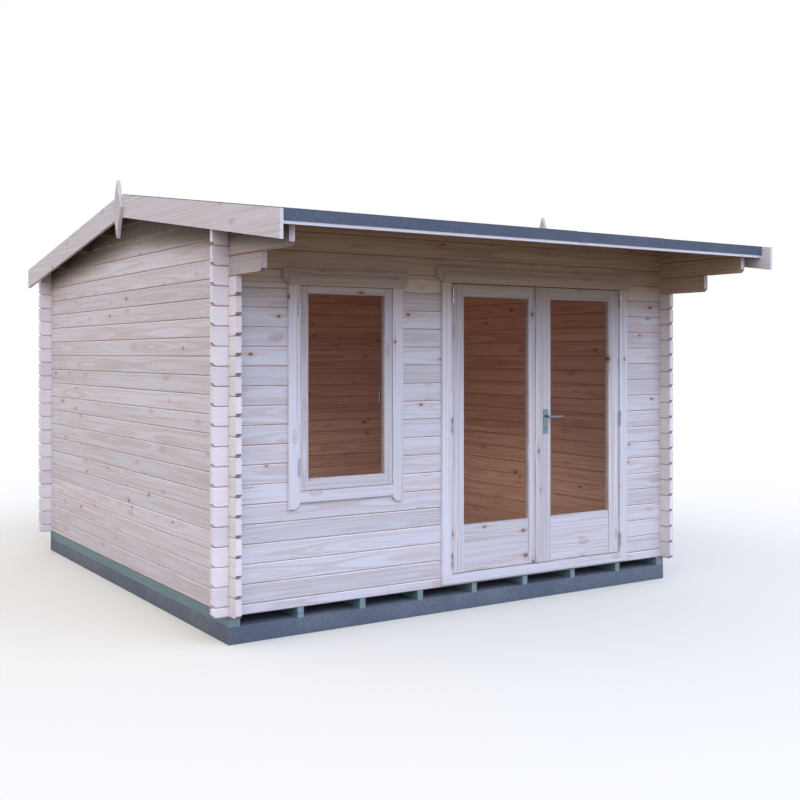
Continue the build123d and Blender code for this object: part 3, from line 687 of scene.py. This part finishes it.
def metal_finish(name, dark, light, rough):
    metal = Finish(name)
    x, y, z = metal.place()
    brushed = metal.noise(metal.vector(x * BRUSH_ACROSS, y * BRUSH_ACROSS, z * BRUSH_ALONG))
    stain = metal.noise(metal.vector(x, y, z), scale=30.0, detail=3.0)
    return metal.surface({
        "Base Color": metal.colour_mix(stain.ease(0.3, 0.7), dark, light),
        "Metallic": 0.9,
        "Roughness": brushed * 0.2 + rough,
        "Normal": metal.bump(brushed, 0.0002, 0.3),
    })


glass = glass_finish()
hinge_metal = metal_finish("zinc_plate", (0.40, 0.42, 0.46), (0.54, 0.57, 0.61), 0.34)
handle_metal = metal_finish("satin_metal", (0.18, 0.235, 0.30), (0.24, 0.305, 0.375), 0.26)
dark_metal = metal_finish("keyway_metal", (0.03, 0.03, 0.035), (0.06, 0.06, 0.07), 0.5)
print("made", glass.name, hinge_metal.name, handle_metal.name, dark_metal.name)

# %% [markdown]
# ## Dressing the frame
# The pieces of the frame keep their meshes. Each gets its finish in its material slot, from one table that
# names the pieces of every finish.

# %% Dress the frame
dressing = {
    log_front: ("front_sill_log", "front_wall_left", "front_wall_right", "front_wall_top",
                "back_wall_logs"),
    log_side: ("left_wall_logs", "right_wall_logs", "left_corbel_logs", "right_corbel_logs",
               "left_gable_logs", "right_gable_logs"),
    upright: ("window_side_trims", "door_side_trims", "gable_finials"),
    level_board: ("window_apron_trim", "door_threshold"),
    eaves_board: ("eaves_fascias",),
    head_board: ("window_head_trim", "door_head_trim"),
    barge_left: ("left_bargeboards",),
    barge_right: ("right_bargeboards",),
    soffit: ("front_roof_boards", "back_roof_boards"),
    beam: ("roof_purlins",),
    floor_wood: ("floor_boards",),
    bearer_wood: ("floor_bearers",),
    sash_wood: ("window_sash",),
    window_frame_wood: ("window_frame",),
    leaf_wood: ("left_door_leaf", "right_door_leaf"),
    panel_wood: ("left_door_panel", "right_door_panel"),
    door_frame_wood: ("door_frame",),
    felt_sheet: ("roof_felt",),
    concrete: ("concrete_plinth",),
    glass: ("window_glass", "left_door_glass", "right_door_glass"),
    hinge_metal: ("window_hinges", "door_hinge_pins", "left_door_hinges", "right_door_hinges"),
    handle_metal: ("window_catch", "door_handle_plate", "door_lever"),
}
for finish, names in dressing.items():
    for name in names:
        nodes[name].data.materials.clear()
        nodes[name].data.materials.append(finish)
left_bare = set(nodes) - {name for names in dressing.values() for name in names}
print("pieces without a finish:", sorted(left_bare))

# %% [markdown]
# ## Tools for the added pieces
# Every added piece starts as a box or a rod between two points. Its edges are eased, it may be repeated in
# a row, and several can be joined into one object. Scale, turn and place are applied to the mesh, so each
# object sits at the origin as the pieces of the frame do.


# %% Box and rod
def keep_place():
    bpy.ops.object.transform_apply(location=True, rotation=True, scale=True)
    return bpy.context.object


def box(low, high):
    """A box between its low and its high corner."""
    low, high = Vector(low), Vector(high)
    bpy.ops.object.select_all(action="DESELECT")
    bpy.ops.mesh.primitive_cube_add(size=1.0, location=(low + high) / 2)
    bpy.context.object.scale = high - low
    return keep_place()


def rod(start, end, radius, sides=24):
    """A round bar between two points."""
    start, end = Vector(start), Vector(end)
    bpy.ops.object.select_all(action="DESELECT")
    bpy.ops.mesh.primitive_cylinder_add(
        vertices=sides, radius=radius, depth=(end - start).length, location=(start + end) / 2)
    bpy.context.object.rotation_euler = (end - start).to_track_quat("Z", "Y").to_euler()
    return keep_place()


print("tools:", box.__name__, rod.__name__)


# %% Shaping
def pick(piece):
    bpy.ops.object.select_all(action="DESELECT")
    piece.select_set(True)
    bpy.context.view_layer.objects.active = piece
    return piece


def apply_modifier(piece, kind, **settings):
    pick(piece)
    bpy.ops.object.modifier_add(type=kind)
    modifier = piece.modifiers[-1]
    for key, value in settings.items():
        setattr(modifier, key, value)
    bpy.ops.object.modifier_apply(modifier=modifier.name)
    return piece


def ease_edges(piece, width, segments=1):
    return apply_modifier(piece, "BEVEL", width=width, segments=segments, limit_method="ANGLE")


def repeat(piece, count, step):
    return apply_modifier(piece, "ARRAY", count=count, use_relative_offset=False,
                          use_constant_offset=True, constant_offset_displace=step)


def lay_on_slope(piece, ridge_z, back):
    """Turn a piece that was made flat under the ridge down onto the front or the back slope."""
    pick(piece)
    piece.rotation_euler.x = math.atan(SLOPE) * (-1 if back else 1)
    piece.location.z = ridge_z
    return keep_place()


print("tools:", ease_edges.__name__, repeat.__name__, lay_on_slope.__name__)

# %% Joining and handing over
SMOOTH_ANGLE = math.radians(35)


def join(pieces):
    bpy.ops.object.select_all(action="DESELECT")
    for piece in pieces:
        piece.select_set(True)
    bpy.context.view_layer.objects.active = pieces[0]
    bpy.ops.object.join()
    return bpy.context.object


def hand_over(piece, name, body, slot, finish, *replaced):
    """Name a finished piece, give it its finish and let it ride on a body of the frame."""
    pick(piece)
    bpy.ops.object.shade_smooth_by_angle(angle=SMOOTH_ANGLE)
    piece.name = name
    piece.data.name = name
    piece.data.materials.clear()
    piece.data.materials.append(finish)
    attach(piece, body)
    if replaced:
        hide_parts(*replaced)
    print("made", name, len(piece.data.polygons), "faces")
    return piece


print("tools:", join.__name__, hand_over.__name__)

# %% [markdown]
# ## Roof and floor boards
# The model has one sheet for each slope and one for the floor. Dark lines in the finish would look painted
# on, so each sheet becomes a row of boards with eased edges, whose joints show from below and inside.

# %% Boards
BOARD_GAP = 0.0006
BOARD_EDGE = 0.0035
FLOOR_EDGE = 0.002
RIDGE_GAP = 0.003
FELT_GAP = 0.0005
run = (board_high.y - board_low.y) * math.hypot(1.0, SLOPE) - ROOF_BOARD
for side_name, back in (("front", False), ("back", True)):
    near, far = (RIDGE_GAP, run) if back else (-run, -RIDGE_GAP)
    first = box((board_low.x + BOARD_GAP, near, -ROOF_BOARD),
                (board_low.x + roof_pitch - BOARD_GAP, far, -FELT_GAP))
    ease_edges(first, BOARD_EDGE)
    boards = lay_on_slope(repeat(first, ROOF_BOARDS, (roof_pitch, 0, 0)), board_high.z, back)
    hand_over(boards, side_name + "_roof_planks", "cabin", "roof_timber", soffit,
              side_name + "_roof_boards")

first = box((floor_low.x, floor_low.y + BOARD_GAP, floor_low.z),
            (floor_high.x, floor_low.y + floor_pitch - BOARD_GAP, floor_high.z))
planks = repeat(ease_edges(first, FLOOR_EDGE), FLOOR_BOARDS, (0, floor_pitch, 0))
hand_over(planks, "floor_planks", "cabin", "floor_timber", floor_wood, "floor_boards")

# %% [markdown]
# ## Felt sheets and their nails
# Felt comes in rolls about a metre wide and is laid from the eaves upwards. Each higher sheet laps over
# the one below it, a strip caps the ridge, and clout nails hold every lap. A bump would show no edge from
# the side, so the upper sheets are thin boxes on the felt of the frame, which is the lowest sheet.

# %% Laps and clout nails
SHEET_THICKNESS = 0.0022
SHEET_EDGE = SHEET_THICKNESS * 0.4
SHEET_INSET = 0.001
LAPS = (1.45, 0.48)
NAIL_STEP = 0.12
NAIL_RADIUS = 0.0055
NAIL_HEAD = 0.0012
NAIL_EDGE = NAIL_HEAD * 0.6
NAIL_SIDES = 10
NAIL_UP = 0.03
nail_count = int((felt_high.x - felt_low.x) / NAIL_STEP) - 1
nail_start = -NAIL_STEP * (nail_count - 1) / 2
for side_name, back in (("front", False), ("back", True)):
    way = 1 if back else -1
    layers, nails = [], []
    for layer, edge in enumerate(LAPS):
        foot = SHEET_THICKNESS * layer
        top = foot + SHEET_THICKNESS
        near, far = sorted((0.0, way * edge))
        layer_box = box((felt_low.x + SHEET_INSET, near, foot), (felt_high.x - SHEET_INSET, far, top))
        layers.append(ease_edges(layer_box, SHEET_EDGE))
        spot = (nail_start, way * (edge - NAIL_UP), top)
        nail = rod(spot, (spot[0], spot[1], top + NAIL_HEAD), NAIL_RADIUS, NAIL_SIDES)
        nails.append(repeat(ease_edges(nail, NAIL_EDGE), nail_count, (NAIL_STEP, 0, 0)))
    sheets = lay_on_slope(join(layers), felt_high.z, back)
    hand_over(sheets, side_name + "_felt_sheets", "cabin", "roofing_felt", felt_sheet)
    heads = lay_on_slope(join(nails), felt_high.z, back)
    hand_over(heads, side_name + "_felt_nails", "cabin", "hinge_steel", hinge_metal)

# %% [markdown]
# ## Glazing beads
# A pane is held by slim beads, small ones in the outer rebate and larger ones inside. Insetting the leaf
# would change a piece of the frame, so the beads are bars of their own.

# %% Beads
OUTER_BEAD = 0.004
INNER_BEAD = 0.006
BEAD_EASE = 0.35


def bead_frame(low, high, width):
    """Four beads round an opening, between two depths."""
    bars = [
        box(low, (low[0] + width, high[1], high[2])),
        box((high[0] - width, low[1], low[2]), high),
        box((low[0] + width, low[1], high[2] - width), (high[0] - width, high[1], high[2])),
        box((low[0] + width, low[1], low[2]), (high[0] - width, high[1], low[2] + width)),
    ]
    return [ease_edges(bar, width * BEAD_EASE, 2) for bar in bars]


for pane, body, slot, wood in (
        ("window_glass", "cabin", "trim_timber", sash_wood),
        ("left_door_glass", "left_door", "door_timber", leaf_wood),
        ("right_door_glass", "right_door", "door_timber", leaf_wood)):
    low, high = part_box(pane)
    outer = bead_frame((low.x, low.y - OUTER_BEAD, low.z), (high.x, low.y, high.z), OUTER_BEAD)
    inner = bead_frame((low.x, high.y, low.z), (high.x, high.y + INNER_BEAD, high.z), INNER_BEAD)
    hand_over(join(outer + inner), pane + "_beads", body, slot, wood)

# %% [markdown]
# ## Cover strip
# A narrow strip stands on the left leaf beside the gap between the doors. It is thin trim, so it is a board
# with rounded edges, laid on the leaf.

# %% Cover strip
STRIP_WIDTH = 0.040
STRIP_PROUD = 0.008
STRIP_EDGE = 0.003
strip = box((leaf_high.x - STRIP_WIDTH, leaf_low.y - STRIP_PROUD, leaf_low.z),
            (leaf_high.x, leaf_low.y, leaf_high.z))
hand_over(ease_edges(strip, STRIP_EDGE, 2), "meeting_cover_strip", "left_door", "door_timber", leaf_wood)

# %% [markdown]
# ## Hinges
# A lift-off hinge has a lower half on the frame and an upper half that swings with the leaf. The model's
# barrels have twelve sides, and a bevel can't make those round, so here they are new rods with rounded
# ends, each on a short arm that goes into the timber. The two halves are pieces of their own, because they
# ride on different bodies.

# %% Door hinges
HINGE_RADIUS = 0.0050
HINGE_SIDES = 28
HINGE_ROUND = 0.0022
HINGE_GAP = 0.001
ARM_IN = 0.003
ARM_OUT = 0.0065
ARM_HEIGHT = 0.030
ARM_EDGE = 0.001
HINGE_LENGTH = 0.108
half_hinge = (HINGE_LENGTH - HINGE_GAP) / 2
joints = frame["record"]["behaviour"]["joints"]
hinge_axes = {joint["child"]: Vector(joint["pos_m"]) for joint in joints}
pins_low, pins_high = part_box("door_hinge_pins")


def barrel(x, y, foot, length):
    """An upright hinge barrel with rounded ends."""
    bar = rod((x, y, foot), (x, y, foot + length), HINGE_RADIUS, HINGE_SIDES)
    return ease_edges(bar, HINGE_ROUND, 2)


lower_halves = []
for body, outward in (("left_door", -1), ("right_door", 1)):
    axis = hinge_axes[body]
    leaf_hinge_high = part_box(body + "_hinges")[1]
    upper_halves = []
    for middle in (pins_low.z + HINGE_LENGTH / 2, axis.z, leaf_hinge_high.z - HINGE_LENGTH / 2):
        foot, top = middle - HINGE_LENGTH / 2, middle + HINGE_LENGTH / 2
        lower_halves.append(barrel(axis.x, axis.y, foot, half_hinge))
        upper_halves.append(barrel(axis.x, axis.y, top - half_hinge, half_hinge))
        for halves_made, way, reach, level in (
                (lower_halves, outward, pins_high.y, foot + half_hinge / 2),
                (upper_halves, -outward, leaf_hinge_high.y, top - half_hinge / 2)):
            x0, x1 = sorted((axis.x + way * ARM_IN, axis.x + way * ARM_OUT))
            arm = box((x0, axis.y, level - ARM_HEIGHT / 2), (x1, reach, level + ARM_HEIGHT / 2))
            halves_made.append(ease_edges(arm, ARM_EDGE))
    hand_over(join(upper_halves), body + "_round_hinges", body, "hinge_steel", hinge_metal,
              body + "_hinges")
hand_over(join(lower_halves), "round_hinge_pins", "cabin", "hinge_steel", hinge_metal, "door_hinge_pins")

# %% Window hinges
window_low, window_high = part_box("window_hinges")
hinge_x, hinge_y = (window_low.x + window_high.x) / 2, window_low.y + HINGE_RADIUS
sash_hinges = []
for foot in (window_low.z, window_high.z - HINGE_LENGTH):
    sash_hinges.append(barrel(hinge_x, hinge_y, foot, HINGE_LENGTH))
    middle = foot + HINGE_LENGTH / 2
    arm = box((hinge_x - ARM_IN, hinge_y, middle - ARM_HEIGHT / 2),
              (hinge_x + ARM_IN, window_high.y, middle + ARM_HEIGHT / 2))
    sash_hinges.append(ease_edges(arm, ARM_EDGE))
hand_over(join(sash_hinges), "round_window_hinges", "cabin", "hinge_steel", hinge_metal, "window_hinges")

# %% [markdown]
# ## Handle
# The lever of the model is two plain rods. Bevelling those would keep them round, so this one is new: a
# collar, a slim neck and a flat grip with soft edges. The plate of the frame stays, and gets a key cylinder
# with its keyway and two screws.

# %% Lever
lever_low, lever_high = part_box("door_lever")
plate_low, plate_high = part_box("door_handle_plate")
LEVER_RADIUS = (lever_high.z - lever_low.z) / 2
GRIP = 0.011
GRIP_ROUND = GRIP * 0.46
GRIP_HALF = LEVER_RADIUS * 0.9
NECK_RADIUS = 0.0068
NECK_EDGE = 0.001
COLLAR = 0.006
COLLAR_EDGE = 0.0015
handle_x = lever_low.x + LEVER_RADIUS
lever_z = (lever_low.z + lever_high.z) / 2


def handle_rod(near_y, far_y, z, radius, sides):
    """A round bar on the handle's middle line that stands out from the plate."""
    return rod((handle_x, near_y, z), (handle_x, far_y, z), radius, sides)


neck = handle_rod(lever_high.y, lever_low.y + GRIP / 2, lever_z, NECK_RADIUS, 28)
collar = handle_rod(plate_low.y, plate_low.y - COLLAR, lever_z, LEVER_RADIUS, 32)
grip = box((lever_low.x, lever_low.y, lever_z - GRIP_HALF),
           (lever_high.x, lever_low.y + GRIP, lever_z + GRIP_HALF))
lever = join([ease_edges(grip, GRIP_ROUND, 4), ease_edges(neck, NECK_EDGE),
              ease_edges(collar, COLLAR_EDGE, 2)])
hand_over(lever, "rounded_lever", "door_lever", "handle_metal", handle_metal, "door_lever")

# %% Key cylinder and screws
KEY_RADIUS = 0.0085
KEY_DROP = 0.072
KEY_PROUD = 0.003
KEY_EDGE = 0.0008
KEYWAY_WIDTH, KEYWAY_HEIGHT, KEYWAY_PROUD, KEYWAY_EDGE = 0.002, 0.010, 0.0004, 0.0002
SCREW_RADIUS = 0.0034
SCREW_PROUD = 0.0008
SCREW_EDGE = SCREW_PROUD * 0.5
SCREW_IN = 0.012
key_z = lever_z - KEY_DROP
key_face = plate_low.y - KEY_PROUD
metal_bits = [ease_edges(handle_rod(plate_low.y, key_face, key_z, KEY_RADIUS, 32), KEY_EDGE)]
for z in (plate_low.z + SCREW_IN, plate_high.z - SCREW_IN):
    screw = handle_rod(plate_low.y, plate_low.y - SCREW_PROUD, z, SCREW_RADIUS, 16)
    metal_bits.append(ease_edges(screw, SCREW_EDGE))
hand_over(join(metal_bits), "key_cylinder", "right_door", "handle_metal", handle_metal)
keyway = box((handle_x - KEYWAY_WIDTH / 2, key_face - KEYWAY_PROUD, key_z - KEYWAY_HEIGHT / 2),
             (handle_x + KEYWAY_WIDTH / 2, key_face, key_z + KEYWAY_HEIGHT / 2))
hand_over(ease_edges(keyway, KEYWAY_EDGE), "keyway", "right_door", "handle_metal", dark_metal)

# %% [markdown]
# ## Window catch
# The catch sits on the inner side of the sash. The model's is two plain blocks. This one keeps the foot and
# has a neck and an arm with an upright grip, rods with rounded ends that show through the pane.

# %% Catch
CATCH_GRIP = 0.007
CATCH_ARM = CATCH_GRIP * 0.8
CATCH_HEIGHT = 0.070
CATCH_INTO_PANE = 0.006
CATCH_FOOT = 0.006
CATCH_NECK_IN = 0.010
FOOT_EDGE, CATCH_EDGE, CATCH_ROUND = 0.002, 0.001, 0.003
catch_low, catch_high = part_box("window_catch")
neck_x = catch_high.x - CATCH_NECK_IN
grip_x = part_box("window_glass")[1].x - CATCH_INTO_PANE
grip_y = catch_high.y - CATCH_GRIP
catch_z = (catch_low.z + catch_high.z) / 2
foot = box(catch_low, (catch_high.x, catch_low.y + CATCH_FOOT, catch_high.z))
arm = rod((neck_x, grip_y, catch_z), (grip_x, grip_y, catch_z), CATCH_ARM)
neck = rod((neck_x, catch_low.y, catch_z), (neck_x, catch_high.y, catch_z), CATCH_GRIP)
grip = rod((grip_x, grip_y, catch_z - CATCH_HEIGHT / 2), (grip_x, grip_y, catch_z + CATCH_HEIGHT / 2),
           CATCH_GRIP)
catch = join([ease_edges(foot, FOOT_EDGE, 2), ease_edges(arm, CATCH_EDGE),
              ease_edges(neck, CATCH_EDGE, 2), ease_edges(grip, CATCH_ROUND, 3)])
hand_over(catch, "rounded_window_catch", "cabin", "handle_metal", handle_metal, "window_catch")

# %% [markdown]
# ## Nails in the trims
# Trims and bargeboards are nailed through their faces. The heads are small and sit almost flush. One nail
# is made for each row on a trim and repeated along it. The bargeboards slope, so there each has its place.

# %% Nails
HEAD_RADIUS = 0.0022
HEAD_PROUD = 0.0006
HEAD_EDGE = HEAD_PROUD * 0.5
TRIM_NAILS = 5
UPRIGHT_MARGIN, UPRIGHT_IN = 0.06, 0.030
LEVEL_MARGIN, LEVEL_UP = 0.12, 0.03


def nail_head(foot, top):
    return ease_edges(rod(foot, top, HEAD_RADIUS, NAIL_SIDES), HEAD_EDGE)


front_nails = []
for name in ("window_side_trims", "door_side_trims"):
    low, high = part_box(name)
    foot = low.z + UPRIGHT_MARGIN
    step = (high.z - UPRIGHT_MARGIN - foot) / (TRIM_NAILS - 1)
    for x in (low.x + UPRIGHT_IN, high.x - UPRIGHT_IN):
        nail = nail_head((x, low.y, foot), (x, low.y - HEAD_PROUD, foot))
        front_nails.append(repeat(nail, TRIM_NAILS, (0, 0, step)))
for name in ("window_head_trim", "door_head_trim", "window_apron_trim", "door_threshold"):
    low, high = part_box(name)
    x, z = low.x + LEVEL_MARGIN, low.z + LEVEL_UP
    step = (high.x - LEVEL_MARGIN - x) / (TRIM_NAILS - 1)
    nail = nail_head((x, low.y, z), (x, low.y - HEAD_PROUD, z))
    front_nails.append(repeat(nail, TRIM_NAILS, (step, 0, 0)))
hand_over(join(front_nails), "trim_nails", "cabin", "hinge_steel", hinge_metal)

# %% Nails of the bargeboards
BARGE_NAILS = 6
BARGE_START, BARGE_REST, BARGE_IN = 0.25, 0.45, 0.035
barge_step = (barge_high.y - BARGE_REST) / (BARGE_NAILS - 1)
side_nails = []
for face_x, way in ((barge_low.x, -1), (-barge_low.x, 1)):
    for side in (-1, 1):
        for index in range(BARGE_NAILS):
            y = side * (BARGE_START + index * barge_step)
            top = barge_high.z - abs(y) * SLOPE
            for z in (top - BARGE_IN, top - BARGE_HEIGHT + BARGE_IN):
                side_nails.append(nail_head((face_x, y, z), (face_x + way * HEAD_PROUD, y, z)))
hand_over(join(side_nails), "bargeboard_nails", "cabin", "hinge_steel", hinge_metal)

# %% [markdown]
# ## Light
# The cabin stands in the even light of a bright sky: cool from the front, a little warmer from the left.
# A few lamps would light the faces unevenly, so the light comes from the world. It is brightest some way
# above the horizon, so the canopy and the bargeboards cast a soft shade. Rays that show the surroundings
# see white.

# %% Sky
SKY_FRONT = (2.08, 2.50, 3.70)
SKY_LEFT = (1.68, 1.64, 1.80)
SKY_BAND_FOOT, SKY_BAND_TOP = (0.20, 0.72), (0.92, 0.76)
SKY_LEAST, SKY_BAND = 0.48, 0.75
SKY_CORNER, SKY_CORNER_FALL = 0.78, 0.35
WHITE = (1.0, 1.0, 1.0, 1.0)
scene = bpy.context.scene
scene.view_settings.view_transform = "Standard"
sky_world = bpy.data.worlds.new("soft_sky")
scene.world = sky_world


def seen_directly(finish):
    """1 for rays that show the surroundings to the eye, 0 for rays that carry light."""
    camera_ray = finish.node("LightPath", None, None, out="Is Camera Ray")
    rays = camera_ray + camera_ray.also("Is Glossy Ray") + camera_ray.also("Is Transmission Ray")
    return rays.math("MINIMUM", 1.0)


sky = Finish("soft_sky", sky_world)
toward_x, toward_y, toward_z = sky.node("TexCoord", None, None, out="Generated").parts()
band = toward_z.ease(*SKY_BAND_FOOT) * toward_z.ease(*SKY_BAND_TOP)
tint = sky.colour_mix((toward_y - toward_x).ease(-0.8, 0.8), SKY_FRONT, SKY_LEFT)
corner = SKY_CORNER - (toward_x + toward_y) * SKY_CORNER_FALL
dome = sky.node("Background", None, {"Color": tint, "Strength": (band * SKY_BAND + SKY_LEAST) * corner})
white = sky.node("Background", None, {"Color": WHITE, "Strength": 1.0})
blend = sky.node("MixShader", None, {0: seen_directly(sky), 1: dome, 2: white})
sky.node("OutputWorld", None, {"Surface": blend})
print("sky made with", len(sky.tree.nodes), "nodes")

# %% [markdown]
# ## Light in the room
# Daylight enters a real room and goes back and forth between its warm walls many times. A render follows
# only a few of those bounces and leaves the room too dark. More sky would bleach the outside, so a wide,
# weak lamp in the room stands for the lost bounces. No pane, metal or camera shows the lamp itself.

# %% Lamp in the room
LAMP_WATTS = 15.0
LAMP_SIZE = (2.4, 2.0)
LAMP_COLOUR = (1.0, 0.89, 0.77)
LAMP_LEFT, LAMP_BEHIND_FRONT, LAMP_OVER_FLOOR = 0.3, 1.85, 0.95
bulb = bpy.data.lights.new("room_lamp", "AREA")
bulb.shape = "RECTANGLE"
bulb.size, bulb.size_y = LAMP_SIZE
bulb.energy = LAMP_WATTS
bulb.color = LAMP_COLOUR
lamp = bpy.data.objects.new("room_lamp", bulb)
lamp.location = (-LAMP_LEFT, WALL_FRONT + LAMP_BEHIND_FRONT, floor_high.z + LAMP_OVER_FLOOR)
for rays in ("visible_camera", "visible_glossy", "visible_transmission"):
    setattr(lamp, rays, False)
scene.collection.objects.link(lamp)
print("lamp at", [round(value, 3) for value in lamp.location])

# %% [markdown]
# ## Floor
# A large plane carries the cabin's shadow. It is pale where the camera sees it and turns to plain white
# further out, so that no horizon shows, but it throws back only a little warm light, as ground does.

# %% Floor
FLOOR_REACH = 60.0
FLOOR_DROP = 0.002
FLOOR_FADE = (4.0, 11.0)
FLOOR_SEEN, FLOOR_BOUNCE = (0.80, 0.74, 0.585), (0.20, 0.165, 0.135)
bpy.ops.object.select_all(action="DESELECT")
bpy.ops.mesh.primitive_plane_add(size=2 * FLOOR_REACH, location=(0, 0, -FLOOR_DROP))
floor = bpy.context.object
floor.name = "studio_floor"
ground = Finish("pale_floor")
ground_x, ground_y, _ = ground.place()
away = ground_x.hypot(ground_y).ease(*FLOOR_FADE)
seen = seen_directly(ground)
lit = ground.node("BsdfDiffuse", None, {"Color": ground.colour_mix(seen, FLOOR_BOUNCE, FLOOR_SEEN)})
glow = ground.node("Emission", None, {"Color": WHITE, "Strength": 1.0})
mixed = ground.node("MixShader", None, {0: away * seen, 1: lit, 2: glow})
ground.node("OutputMaterial", None, {"Surface": mixed})
floor.data.materials.append(ground.owner)
print("made", floor.name)

# %% [markdown]
# ## Camera
# The camera stands at eye height and looks level, which keeps upright lines upright. Tilting it down to take
# in the plinth would make them lean, so its frame is shifted down a little instead.

# %% Camera
EYE = (-4.320, -7.297, 1.653)
TURN = math.radians(32.91)
IMAGE = 800
FOCAL_PIXELS = 1099.6
HORIZON_ROW = 354.7
lens = bpy.data.cameras.new("eye_level")
lens.sensor_width = 36.0
lens.lens = FOCAL_PIXELS / IMAGE * lens.sensor_width
lens.shift_y = (HORIZON_ROW - IMAGE / 2) / IMAGE
camera = bpy.data.objects.new("eye_level", lens)
camera.location = EYE
camera.rotation_euler = (math.pi / 2, 0.0, -TURN)
scene.collection.objects.link(camera)
scene.camera = camera
print("lens", round(lens.lens, 2), "shift", round(lens.shift_y, 4))

# %% [markdown]
